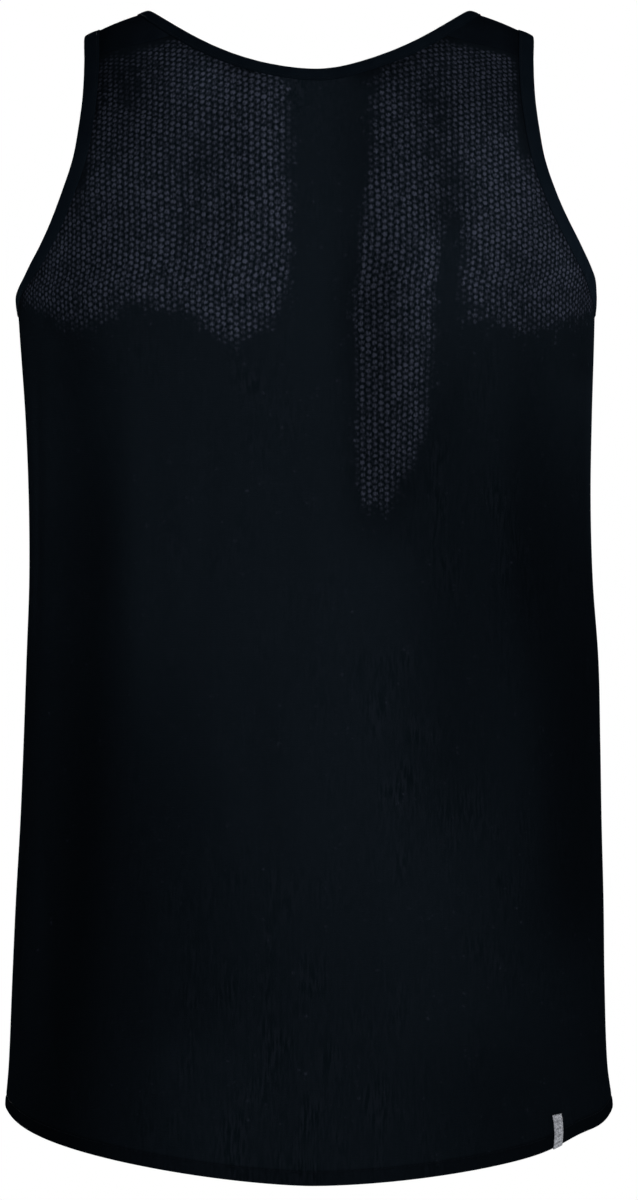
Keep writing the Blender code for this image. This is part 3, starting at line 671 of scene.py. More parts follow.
def mesh_piece(name, points, faces, corner_places, material):
    """An object with its place in its mesh, smooth faces, and its pattern as a UV map in metres."""
    mesh = bpy.data.meshes.new(name)
    mesh.from_pydata(points.tolist(), [], faces.tolist())
    mesh.uv_layers.new(name="pattern").uv.foreach_set("vector", corner_places.astype(np.float32).ravel())
    mesh.materials.append(material)
    mesh.shade_smooth()
    piece = bpy.data.objects.new(name, mesh)
    bpy.context.scene.collection.objects.link(piece)
    return piece


def panel_piece(name, side, material):
    """The whole panel, with both faces and a rounded rim, and its places, length and area on the pattern."""
    outline, places, drops = panel_places(side)
    ring = np.arange(len(outline))
    _, _, found, sources, _, _ = delaunay_2d_cdt(
        [Vector(place) for place in places], [], [ring.tolist()], WITHIN_OUTLINE, SAME_PLACE, True
    )
    source = np.array([ids[0] for ids in sources])
    faces = source[np.array(found)]
    faces = faces[inside(places[faces].mean(axis=1), outline)]
    a, b, c = (places[faces[:, k]] for k in range(3))
    area = float(np.abs(np.cross(b - a, c - a)).sum() / 2)
    across, up = places.T
    out = facing_out(cloth_face, side, across, up)
    outer = cloth_face(side, across, up) + (hem_relief(side, across, up) - drops)[:, None] * out
    band = smooth((HEM_BAND - (up - hem_line(side, across))) / TURNED_UP_EDGE + 0.5)
    inner = outer - (CLOTH + TURNED_UP * band - 2 * drops)[:, None] * out
    ahead = np.roll(ring, -1)
    tangent = outer[ahead] - np.roll(outer[ring], 1, axis=0)
    beyond = unit(np.cross(tangent, out[ring]) * -FACING[side])
    bulge = np.where(band[ring] > 0.5, RIM_BULGE, RIM_BULGE / 4)
    rim = (outer[ring] + inner[ring]) / 2 + beyond * bulge[:, None]
    near, far = (ring, ahead) if side == "back" else (ahead, ring)
    if side == "front":
        faces = faces[:, ::-1]
    count = len(places)
    strips = [
        np.stack([far, near, near + 2 * count], axis=-1),
        np.stack([far, near + 2 * count, far + 2 * count], axis=-1),
        np.stack([far + 2 * count, near + 2 * count, near + count], axis=-1),
        np.stack([far + 2 * count, near + count, far + count], axis=-1),
    ]
    solid = np.concatenate([faces, faces[:, ::-1] + count, *strips])
    all_places = np.concatenate([places, places, places[ring]])
    points = np.concatenate([outer, inner, rim])
    piece = mesh_piece(name, points, solid, all_places[solid.ravel()], material)
    return piece, all_places, float(up.max() - up.min()) + HEM_BAND, area


# How far down the mesh stands open at places across the back, and how much of it does. Where open, its raised
# stitches are painted lighter, partly as a painted highlight over the shoulder blades.
OPEN_AND_HIGHLIT_MESH = table(
    "across down_to share",
    (-0.2500, 0.004, 0.80),
    (-0.1920, -0.004, 0.90),
    (-0.1420, -0.021, 0.95),
    (-0.1060, -0.007, 0.92),
    (-0.0750, -0.010, 1.00),
    (-0.0430, -0.031, 0.95),
    (-0.0180, -0.016, 0.85),
    (-0.0060, 0.000, 0.06),
    (0.0100, 0.000, 0.00),
    (0.0270, -0.112, 0.10),
    (0.0330, -0.128, 0.92),
    (0.0460, -0.130, 1.00),
    (0.0620, -0.108, 0.95),
    (0.0760, -0.080, 0.90),
    (0.0860, -0.030, 0.85),
    (0.0990, -0.014, 0.90),
    (0.1310, -0.021, 0.95),
    (0.1650, -0.016, 0.95),
    (0.2500, 0.002, 0.80),
)
OPEN_FADE = 0.030

# Where it is closed between and beside the blades, and so darker: partly painted shade in the hollows there.
# The amount is the share that is closed.
CLOSED_AND_SHADED_MESH = {
    "back": table(
        BAND,
        (0.086, 0.060, 0.084, -0.090, 0.0080, 0.0140, 1.00),
        (0.068, 0.170, 0.080, 0.020, 0.0180, 0.0140, 0.35),
        (0.032, 0.200, 0.026, 0.020, 0.0200, 0.0080, 1.00),
        (-0.134, 0.240, -0.148, 0.030, 0.0110, 0.0080, 0.85),
        (-0.062, 0.120, -0.074, 0.010, 0.0160, 0.0180, 0.25),
        (0.137, 0.240, 0.136, 0.060, 0.0120, 0.0090, 1.00),
        (-0.116, 0.180, -0.108, 0.110, 0.0150, 0.0150, 0.55),
    ),
}
# Troughs close the mesh and so darken it: painted shade in the folds.
TROUGH_DEPTH = 0.0040
TROUGH_CLOSES_AND_SHADES = 0.25
CLOSED_BY_SEAM = 0.0010
OPENS_BESIDE_SEAM = 0.0090
SEAM_POINTS = 40

# Painted shade and painted light: bands where the cloth is darker or lighter than its middle tone, for fold
# shadows, sides turned from the lamps and lit edges. The amount is in doublings.
PAINTED_SHADE_AND_LIGHT = {
    "back": table(
        BAND,
        (-0.128, 0.300, -0.128, 0.090, 0.032, 0.032, -0.80),
        (0.112, 0.300, 0.112, 0.080, 0.050, 0.050, -0.70),
        (-0.060, 0.160, -0.085, 0.000, 0.040, 0.050, -0.15),
        (0.046, 0.170, 0.040, 0.030, 0.022, 0.016, -0.35),
        (0.072, 0.150, 0.080, 0.020, 0.020, 0.018, -0.50),
        (-0.185, 0.060, -0.190, -0.160, 0.030, 0.030, 0.25),
        (-0.245, 0.130, -0.245, -0.320, 0.044, 0.036, -1.50),
        (-0.174, 0.110, -0.174, 0.010, 0.024, 0.024, 0.60),
        (-0.060, 0.190, -0.060, 0.100, 0.018, 0.018, 0.50),
        (0.200, 0.020, 0.205, -0.060, 0.036, 0.036, -0.50),
        (-0.120, 0.170, -0.112, 0.070, 0.028, 0.024, -0.35),
        (0.136, 0.120, 0.142, -0.260, 0.024, 0.022, -0.35),
        (0.225, 0.070, 0.228, -0.200, 0.030, 0.030, 0.50),
        (0.186, -0.180, 0.186, -0.400, 0.030, 0.030, -0.30),
        (0.172, -0.370, 0.172, -0.520, 0.044, 0.044, 0.35),
        (-0.065, -0.420, -0.060, -0.570, 0.036, 0.036, 0.35),
        (-0.150, 0.030, -0.160, -0.660, 0.026, 0.034, -1.00),
        (-0.142, 0.110, -0.152, -0.090, 0.024, 0.024, -0.32),
        (-0.110, -0.160, -0.110, -0.720, 0.060, 0.085, -0.75),
        (-0.228, -0.160, -0.228, -0.700, 0.034, 0.034, -1.35),
        (0.020, -0.300, 0.020, -0.750, 0.120, 0.140, -0.25),
        (0.043, 0.060, 0.044, -0.170, 0.018, 0.022, -0.75),
        (0.088, 0.020, 0.080, -0.360, 0.026, 0.030, -0.45),
        (0.178, 0.020, 0.190, -0.670, 0.075, 0.068, -1.45),
        (0.100, -0.420, 0.100, -0.620, 0.050, 0.050, -0.45),
    ),
    "front": table(
        BAND,
        (-0.128, 0.300, -0.128, 0.090, 0.032, 0.032, -0.80),
        (0.112, 0.300, 0.112, 0.080, 0.050, 0.050, -0.30),
        (-0.170, 0.000, -0.185, -0.680, 0.060, 0.070, -0.90),
        (0.165, 0.020, 0.180, -0.680, 0.050, 0.060, -0.80),
        (0.000, 0.100, 0.006, -0.140, 0.024, 0.030, -0.35),
        (0.070, -0.060, 0.050, -0.360, 0.026, 0.034, -0.30),
        (-0.090, -0.100, -0.110, -0.600, 0.024, 0.040, -0.40),
        (-0.070, 0.100, -0.062, -0.080, 0.036, 0.040, 0.30),
        (0.078, 0.090, 0.082, -0.070, 0.034, 0.034, 0.30),
    ),
}
# Darker along the turned-up hem, and painted shade beside the neck and armhole edges, fading out over the
# reach. Amounts in doublings.
HEM_TONE = -0.50
HEM_TONE_EDGE = 0.0015
BOUND_PAINTED_SHADE = -0.95
BOUND_REACH = 0.022
NECK_SHADE_FROM = 0.35

# Where the closed stitches are drawn out into fine upright strokes, and how strongly beyond the rest.
STROKES = {
    "back": table(
        BAND,
        (0.052, -0.180, 0.062, -0.370, 0.026, 0.030, 1.0),
        (0.074, -0.030, 0.080, -0.200, 0.016, 0.016, 0.9),
        (0.118, -0.060, 0.130, -0.240, 0.014, 0.014, 0.8),
        (-0.035, -0.020, -0.030, -0.110, 0.014, 0.014, 0.7),
        (0.004, 0.170, 0.002, 0.070, 0.030, 0.030, 0.9),
        (-0.050, -0.300, -0.045, -0.600, 0.045, 0.060, 0.7),
        (0.010, -0.370, 0.020, -0.640, 0.040, 0.060, 0.8),
        (0.110, -0.280, 0.110, -0.440, 0.022, 0.022, 0.7),
    ),
}
STROKES_ALL_OVER = 0.45


def open_and_highlit_share(places):
    """How open the mesh stands, with a painted highlight where open: stretched over the blades, closed and
    darker below, with painted shade in troughs, and closed by the seams.
    """
    across, up = places.T
    where, down_to, share = np.array(OPEN_AND_HIGHLIT_MESH).T
    down_to, share = np.interp(across, where, down_to), np.interp(across, where, share)
    trough = smooth(-fold_height("back", across, up) / TROUGH_DEPTH)
    closed = np.minimum(1.0, soft_bands(CLOSED_AND_SHADED_MESH, *own_face("back", across, up)))
    seam = seam_place("back", np.linspace(NECK_CORNER, ARMHOLE_CORNER, SEAM_POINTS))
    seam = nearest(places, np.concatenate([seam, seam * (-1.0, 1.0)]))
    share = share * smooth((seam - CLOSED_BY_SEAM) / OPENS_BESIDE_SEAM) * (1.0 - closed)
    return share * smooth((up - down_to) / OPEN_FADE + 0.5) * (1.0 - TROUGH_CLOSES_AND_SHADES * trough)


def mark(piece, name, values):
    """Stores a value for each point of a piece, which its finish reads by name."""
    column = piece.data.attributes.new(name, "FLOAT", "POINT")
    column.data.foreach_set("value", np.asarray(values, np.float32))


def painted_shade_and_light(side, places):
    """Painted shade and light at places on a panel, against its middle tone: the bands, darker along the
    turned-up hem, and painted shade near the bound edges.
    """
    above = places[:, 1] - hem_line(side, places[:, 0])
    doubled = smooth((HEM_BAND - above) / HEM_TONE_EDGE + 0.5)
    armhole = along_curve(side, armhole_edge, 0.0, math.pi)
    neck = along_curve(side, neck_edge, NECK_SHADE_FROM, math.pi / 2)
    bound = np.concatenate([armhole, neck])
    bound = nearest(places, np.concatenate([bound, bound * (-1.0, 1.0)]))
    beside_edge = 1.0 - smooth(bound / BOUND_REACH)
    bands = soft_bands(PAINTED_SHADE_AND_LIGHT, *own_face(side, *places.T))
    return 2.0 ** (bands + HEM_TONE * doubled + BOUND_PAINTED_SHADE * beside_edge)


class Level:
    """A number that a finish's nodes work out at each place. It adds and multiplies as plain numbers do."""

    def __init__(self, socket):
        self.socket = socket
        self.tree = socket.id_data

    def worked(self, operation, *others):
        """What a math node makes of this level and of other levels or numbers."""
        node = self.tree.nodes.new("ShaderNodeMath")
        node.operation = operation
        for entry, value in zip(node.inputs, (self, *others)):
            if isinstance(value, Level):
                self.tree.links.new(value.socket, entry)
            else:
                entry.default_value = value
        return Level(node.outputs[0])

    def __add__(self, other):
        return self.worked("ADD", other)

    def __sub__(self, other):
        return self.worked("SUBTRACT", other)

    def __rsub__(self, other):
        return self * -1.0 + other

    def __mul__(self, other):
        return self.worked("MULTIPLY", other)

    def __truediv__(self, other):
        return self.worked("DIVIDE", other)

    def waves(self, length):
        """Cosine waves of that length along the level."""
        return (self * (2 * math.pi / length)).worked("COSINE")

    def stepped(self, low, high, least=0.0, most=1.0):
        """A soft step from least to most as the level goes from low to high."""
        node = self.tree.nodes.new("ShaderNodeMapRange")
        node.interpolation_type = "SMOOTHSTEP"
        self.tree.links.new(self.socket, node.inputs["Value"])
        for name, value in (("From Min", low), ("From Max", high), ("To Min", least), ("To Max", most)):
            node.inputs[name].default_value = value
        return Level(node.outputs["Result"])


def cloudy(tree, size, stretch=1.0, detail=2.0):
    """Soft random patches of that size on the object, drawn out upwards by the stretch."""
    place = tree.nodes.new("ShaderNodeTexCoord")
    turn = tree.nodes.new("ShaderNodeMapping")
    turn.inputs["Scale"].default_value = (1.0, 1.0, 1.0 / stretch)
    noise = tree.nodes.new("ShaderNodeTexNoise")
    noise.inputs["Scale"].default_value = 1.0 / size
    noise.inputs["Detail"].default_value = detail
    tree.links.new(place.outputs["Object"], turn.inputs["Vector"])
    tree.links.new(turn.outputs["Vector"], noise.inputs["Vector"])
    return Level(noise.outputs["Fac"])


# Random patches: their size, how they are drawn out, how fine they are, where in the noise they start and
# are full, and the levels that they run between.
Patches = namedtuple("Patches", "size stretch detail low high least most")


def patchy(tree, kind):
    """Random patches of a kind, as levels from its least to its most."""
    clouds = cloudy(tree, kind.size, kind.stretch, kind.detail)
    return clouds.stepped(kind.low, kind.high, kind.least, kind.most)


def pattern_place(tree):
    """Across and up on the cloth's pattern, in metres."""
    place = tree.nodes.new("ShaderNodeUVMap")
    place.uv_map = "pattern"
    parts = tree.nodes.new("ShaderNodeSeparateXYZ")
    tree.links.new(place.outputs["UV"], parts.inputs["Vector"])
    return Level(parts.outputs["X"]), Level(parts.outputs["Y"])


def marked_level(tree, name):
    """A value that is stored for each point of the piece."""
    reader = tree.nodes.new("ShaderNodeAttribute")
    reader.attribute_name = name
    return Level(reader.outputs["Fac"])


def coloured(level, first, second, painted_shading=None):
    """Gives the shader the first colour where the level is 0 and the second where it is 1, times the painted
    shade and light if given.
    """
    nodes, links = level.tree.nodes, level.tree.links
    mix = nodes.new("ShaderNodeMix")
    mix.data_type = "RGBA"
    links.new(level.socket, mix.inputs["Factor"])
    mix.inputs["A"].default_value = (*first, 1.0)
    mix.inputs["B"].default_value = (*second, 1.0)
    colour = mix.outputs["Result"]
    if painted_shading is not None:
        toned = nodes.new("ShaderNodeVectorMath")
        toned.operation = "SCALE"
        links.new(colour, toned.inputs["Vector"])
        links.new(painted_shading.socket, toned.inputs["Scale"])
        colour = toned.outputs["Vector"]
    links.new(colour, nodes["Principled BSDF"].inputs["Base Color"])


def raised(height, distance):
    """Gives the shader relief, with heights from 0 to 1 standing for that distance."""
    nodes, links = height.tree.nodes, height.tree.links
    bump = nodes.new("ShaderNodeBump")
    bump.inputs["Distance"].default_value = distance
    links.new(height.socket, bump.inputs["Height"])
    links.new(bump.outputs["Normal"], nodes["Principled BSDF"].inputs["Normal"])


STITCH_LEAN = 1.4
SHEEN_ROUGHNESS = 0.5


def plain_stitches(across, up, wale, course):
    """Height of a plain knit's stitches, from 0 to 1: columns of small slanted loops."""
    arm = ((across / wale).worked("FRACT") - 0.5).worked("ABSOLUTE")
    loops = (up / course + arm * STITCH_LEAN).waves(1.0).stepped(-1.0, 1.0)
    return loops * (arm * (2 * math.pi)).worked("SINE").stepped(0.0, 1.0)


def cloth_finish(name, roughness, specular=0.0, sheen=0.0):
    material = bpy.data.materials.new(name)
    material.use_nodes = True
    shader = material.node_tree.nodes["Principled BSDF"]
    shader.inputs["Roughness"].default_value = roughness
    shader.inputs["Specular IOR Level"].default_value = specular
    shader.inputs["Sheen Weight"].default_value = sheen
    shader.inputs["Sheen Roughness"].default_value = SHEEN_ROUGHNESS
    return material


# Columns of raised stitches with eyelets between them. Neighbouring columns are half a stitch apart.
MESH_ROUGHNESS = 0.75
MESH_COLUMN = 0.0037
MESH_STITCH = 0.0037
MESH_WALE = 0.00123
MESH_COURSE = 0.0010
MESH_LOOP_SHARE = 0.30
MESH_RELIEF = 0.00040
CLOSED_RELIEF = 0.12
MESH_GAP_COLOUR = (0.0016, 0.0042, 0.0056)
MESH_THREAD_COLOUR = (0.050, 0.057, 0.085)
STAGGER_WEIGHT = 1.8
DOT_START, DOT_FULL = -2.2, 2.8
EYELET_FULL, EYELET_END = -1.30, -0.75
EYELET_LEVEL = 0.40
DOT_FLOOR = 0.13
CLOSED_LEVEL = 0.090
OPEN_START, OPEN_FULL = 0.12, 0.88
COLUMN_WANDER, COLUMN_WANDER_SIZE = 0.0015, 0.006
ROW_WANDER, ROW_WANDER_SIZE = 0.0016, 0.0047
RAGGED, RAGGED_SIZE, RAGGED_DETAIL = 1.3, 0.006, 4.0

DOT_PATCHES = Patches(0.0034, 1.0, 2.0, 0.30, 0.70, 0.48, 1.17)
WORN_PATCHES = Patches(0.014, 1.0, 2.0, 0.30, 0.70, 0.78, 1.15)
YARN_PATCHES = Patches(0.0011, 2.2, 1.0, 0.34, 0.66, 0.42, 1.58)
STROKE_PATCHES = Patches(0.0015, 7.0, 1.0, 0.36, 0.64, -0.38, 0.38)
DRAWN_PATCHES = Patches(0.016, 1.8, 2.0, 0.45, 0.70, 0.25, 1.0)

eyelet_mesh = cloth_finish("eyelet_mesh_finish", MESH_ROUGHNESS)
tree = eyelet_mesh.node_tree
across, up = pattern_place(tree)
across = across + cloudy(tree, COLUMN_WANDER_SIZE) * COLUMN_WANDER
up = up + cloudy(tree, ROW_WANDER_SIZE) * ROW_WANDER
staggered = across.waves(2 * MESH_COLUMN) * up.waves(MESH_STITCH)
lattice = across.waves(MESH_COLUMN) + staggered * STAGGER_WEIGHT
dots = lattice.stepped(DOT_START, DOT_FULL)
eyelets = lattice.stepped(EYELET_FULL, EYELET_END, EYELET_LEVEL, 1.0)
loops = plain_stitches(across, up, MESH_WALE, MESH_COURSE)
ragged = (cloudy(tree, RAGGED_SIZE, detail=RAGGED_DETAIL) - 0.5) * RAGGED
# Marked openness lets the raised stitches show light: partly the open eyelets, partly a painted highlight.
# Closed mesh is darker, partly painted shade.
openness_and_highlight = (marked_level(tree, "open_and_highlit") + ragged).stepped(OPEN_START, OPEN_FULL)
dot_height = dots * (patchy(tree, DOT_PATCHES) * patchy(tree, WORN_PATCHES))
open_level = dot_height.stepped(0.0, 1.0, DOT_FLOOR, 1.0) * (eyelets * patchy(tree, YARN_PATCHES))
drawn = marked_level(tree, "strokes") * patchy(tree, DRAWN_PATCHES)
closed_level = (patchy(tree, STROKE_PATCHES) * drawn + 1.0) * CLOSED_LEVEL
level = open_level * openness_and_highlight + closed_level * (1.0 - openness_and_highlight)
looped = loops.stepped(0.0, 1.0, 1.0 - MESH_LOOP_SHARE / 2, 1.0 + MESH_LOOP_SHARE)
coloured(level * looped, MESH_GAP_COLOUR, MESH_THREAD_COLOUR, marked_level(tree, "painted_shading"))
raised(dots * openness_and_highlight.stepped(0.0, 1.0, CLOSED_RELIEF, 1.0) + loops * MESH_LOOP_SHARE, MESH_RELIEF)

back_cloth, back_places, back_length, back_area = panel_piece("back_cloth", "back", eyelet_mesh)
# Openness with its painted highlight, painted shade and light, and strokes, stored on the back's points.
mark(back_cloth, "open_and_highlit", open_and_highlit_share(back_places))
mark(back_cloth, "painted_shading", painted_shade_and_light("back", back_places))
mark(back_cloth, "strokes", STROKES_ALL_OVER + soft_bands(STROKES, *own_face("back", *back_places.T)))
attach(back_cloth, "root")
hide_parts("back_panel")


# Front panel. It is one piece of fine plain knit, carried over the shoulders to a seam behind them.
# Its hem is turned up and stitched down as the back's is, and both stand open a little at the side vents.
KNIT_ROUGHNESS = 0.80
KNIT_WALE = 0.0011
KNIT_COURSE = 0.0009
KNIT_RELIEF = 0.00016
KNIT_STITCH_SHARE = 0.45
KNIT_PATCHES = Patches(0.012, 2.5, 2.0, 0.30, 0.70, 0.35, 0.65)
PLAIN_KNIT_SHADE = (0.0024, 0.0042, 0.0066)
PLAIN_KNIT_LIGHT = (0.0085, 0.0125, 0.0185)


def knit_finish(name, shade, light, wale, course):
    """A finish of fine plain knit, a little uneven in colour, times the painted shade and light that its
    piece has.
    """
    material = cloth_finish(name, KNIT_ROUGHNESS)
    tree = material.node_tree
    stitches = plain_stitches(*pattern_place(tree), wale, course)
    level = stitches * KNIT_STITCH_SHARE + patchy(tree, KNIT_PATCHES) * (1.0 - KNIT_STITCH_SHARE)
    coloured(level, shade, light, marked_level(tree, "painted_shading"))
    raised(stitches, KNIT_RELIEF)
    return material


plain_knit = knit_finish("plain_knit_finish", PLAIN_KNIT_SHADE, PLAIN_KNIT_LIGHT, KNIT_WALE, KNIT_COURSE)
front_cloth, front_places, front_length, front_area = panel_piece("front_cloth", "front", plain_knit)
# Painted shade and light, stored on the front's points.
mark(front_cloth, "painted_shading", painted_shade_and_light("front", front_places))
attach(front_cloth, "root")
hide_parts("front_panel")


# Side and shoulder seams. The edges of the two panels are overcast together and pressed to the back on
# the inside, from the armhole binding down to the vent and from the neck binding to the armhole's.
NECK_BINDING_WIDTH = 0.0065
ARMHOLE_BINDING_WIDTH = 0.0090
SEAM_ALLOWANCE = 0.0055
SEAM_OVERLAP = 0.0012
SEAM_THICKNESS = 0.0010
SEAM_EDGE = 0.15
SEAM_EDGE_POWER = 6
SEAM_CLEARANCE = 0.00008
SEAM_STEPS = 6
SEAM_ROW = 0.0030
SHOULDER_SEAM_ROWS = 12
OVERCAST_PITCH = 0.0021
OVERCAST_LEAN = 0.5
OVERCAST_RELIEF = 0.00025
OVERCAST_SHADE = (0.0010, 0.0020, 0.0033)
OVERCAST_LIGHT = (0.0075, 0.0110, 0.0160)

overcast = cloth_finish("overcast_seam_finish", KNIT_ROUGHNESS)
along, round_it = pattern_place(overcast.node_tree)
threads = (along + round_it * OVERCAST_LEAN).waves(OVERCAST_PITCH).stepped(-1.0, 1.0)
coloured(threads, OVERCAST_SHADE, OVERCAST_LIGHT)
raised(threads, OVERCAST_RELIEF)


def between_rings(index):
    """Faces from each ring of points to the next, and from the last to the first."""
    beside = np.roll(index, -1, axis=1)
    return np.stack([index, beside, np.roll(beside, -1, axis=0), np.roll(index, -1, axis=0)], axis=-1)


def points_out(points, faces):
    """Whether the faces of a closed form point out of it, from the sign of its volume."""
    first = points[faces[:, 0]]
    fans = ((points[faces[:, k]], points[faces[:, k + 1]]) for k in range(1, faces.shape[1] - 1))
    return sum((first * np.cross(second, third)).sum() for second, third in fans) > 0


def seam_strip(name, line, aside):
    """Overcast edges of a seam under the cloth, from just past the seam's line to their free edge."""
    upper, lower = [], []
    for share in np.linspace(0.0, 1.0, SEAM_STEPS + 1):
        width = share * (SEAM_ALLOWANCE + SEAM_OVERLAP) - SEAM_OVERLAP
        place = line + np.array(aside) * width
        out = facing_out(cloth_face, "back", *place.T)
        top = cloth_face("back", *place.T) - out * (CLOTH + SEAM_CLEARANCE)
        round_end = math.sqrt(max(0.0, 1.0 - (2.0 * share - 1.0) ** SEAM_EDGE_POWER))
        upper.append(top)
        lower.append(top - out * SEAM_THICKNESS * (SEAM_EDGE + (1.0 - SEAM_EDGE) * round_end))
    rings = np.stack(upper + lower[::-1], axis=1)
    count, sides = rings.shape[:2]
    index = np.arange(count * sides).reshape(count, sides)
    quads = between_rings(index)[:-1].reshape(-1, 4)
    k = np.arange(SEAM_STEPS)
    cap = np.stack([k, sides - 1 - k, sides - 2 - k, k + 1], axis=-1)
    quads = np.concatenate([quads, cap, cap[:, ::-1] + (count - 1) * sides])
    flat = rings.reshape(-1, 3)
    if not points_out(flat, quads):
        quads = quads[:, ::-1]
    around = np.arange(sides) * SEAM_ALLOWANCE / SEAM_STEPS
    places = np.stack(np.meshgrid(run_along(rings[:, 0]), around, indexing="ij"), axis=-1).reshape(-1, 2)
    strip = mesh_piece(name, flat, quads, places[quads.ravel()], overcast)
    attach(strip, "root")
    return strip


vent_top = SIDE_HEM - UNDERARM + VENT_LENGTH
falls = np.linspace(-ARMHOLE_BINDING_WIDTH, vent_top - SEAM_ALLOWANCE, round(-vent_top / SEAM_ROW))
reach = np.linspace(
    NECK_CORNER + NECK_BINDING_WIDTH, ARMHOLE_CORNER - ARMHOLE_BINDING_WIDTH, SHOULDER_SEAM_ROWS
)
shoulder_line = seam_place("back", reach)
for seam_side, sign in (("left", -1.0), ("right", 1.0)):
    side_line = np.stack([np.full(falls.shape, sign * SIDE_SEAM), falls], axis=-1)
    seam_strip(f"side_seam_{seam_side}", side_line, (-sign, 0.0))
    seam_strip(f"shoulder_seam_{seam_side}", shoulder_line * (sign, 1.0), (0.0, -1.0))


# Neck and armhole bindings. Each is a strip of the front's knit, folded over the edge of its opening all
# round and stitched through close to its lower edge. The armholes' are wider. The strips' own joins don't
# show.
BINDING_CLOTH = 0.00075
BINDING_CLEARANCE = 0.00006
BINDING_SWELLING = 0.00030
BINDING_SWELLING_START = 0.25
BINDING_EDGE = 0.0006
BINDING_GROOVE = 0.00028
BINDING_GROOVE_WIDTH = 0.0005
BINDING_STITCH_INSET = 0.0014
BINDING_STEP = 0.0021
BINDING_FINENESS = 4
BINDING_PUCKER = 0.10
BINDING_PUCKER_SPREAD = 1.2
BINDING_PUCKERS = table("length start", (0.0083, 0.2), (0.0117, 0.6), (0.0171, 0.9), (0.047, 0.3))
BINDING_SHADE = (0.0014, 0.0030, 0.0050)
BINDING_LIGHT = (0.0068, 0.0105, 0.0156)
BINDING_WALE = 0.0009
BINDING_COURSE = 0.0008
# Painted light: the bindings are lighter lower down, where they face the lamps, rising between these heights
# by so many doublings.
BINDING_PAINTED_LIGHT_FROM = -0.060
BINDING_PAINTED_LIGHT_TO = -0.160
BINDING_PAINTED_LIGHT = 0.70
WIDTH_SHARES = (1.0, 0.97, 0.90, 0.84, 0.785, 0.72, 0.60, 0.42, 0.24, 0.08)
SNUG_SHARES = (0.97, 0.42, 0.08)
CROWN_STEPS = 8
CROWN_PUCKER = 0.05

binding_knit = knit_finish(
    "binding_knit_finish", BINDING_SHADE, BINDING_LIGHT, BINDING_WALE, BINDING_COURSE
)


def inward(edge, width, step=0.0005):
    """Places a width in from a closed edge on the back's pattern, square to it over the cloth."""
    points = plain_form("back", *edge.T)
    tangent = unit(np.roll(points, -1, axis=0) - np.roll(points, 1, axis=0))
    along = (plain_form("back", edge[:, 0] + step, edge[:, 1]) - points) / step
    upward = (plain_form("back", edge[:, 0], edge[:, 1] + step) - points) / step
    square = unit(np.cross(np.cross(along, upward), tangent))
    a, b = (along * square).sum(axis=1), (upward * square).sum(axis=1)
    c, d = (along * tangent).sum(axis=1), (upward * tangent).sum(axis=1)
    return edge + width * np.stack([d, -c], axis=-1) / (a * d - b * c)[:, None]


def leg_height(share, width, pucker):
    """Heights of a binding's outside above the cloth, once round, at a share of its width from the fold."""
    from_edge = (1.0 - share) * width
    swelling = BINDING_SWELLING * math.sin(math.pi * min(1.0, share + BINDING_SWELLING_START))
    full = (BINDING_CLOTH + swelling) * smooth(from_edge / BINDING_EDGE)
    groove = BINDING_GROOVE * math.exp(-(((from_edge - BINDING_STITCH_INSET) / BINDING_GROOVE_WIDTH) ** 2))
    swell = math.sin(math.pi * min(1.0, share * BINDING_PUCKER_SPREAD))
    swell = BINDING_PUCKER * BINDING_CLOTH * pucker * swell
    return (BINDING_CLEARANCE + full - groove + swell)[:, None]


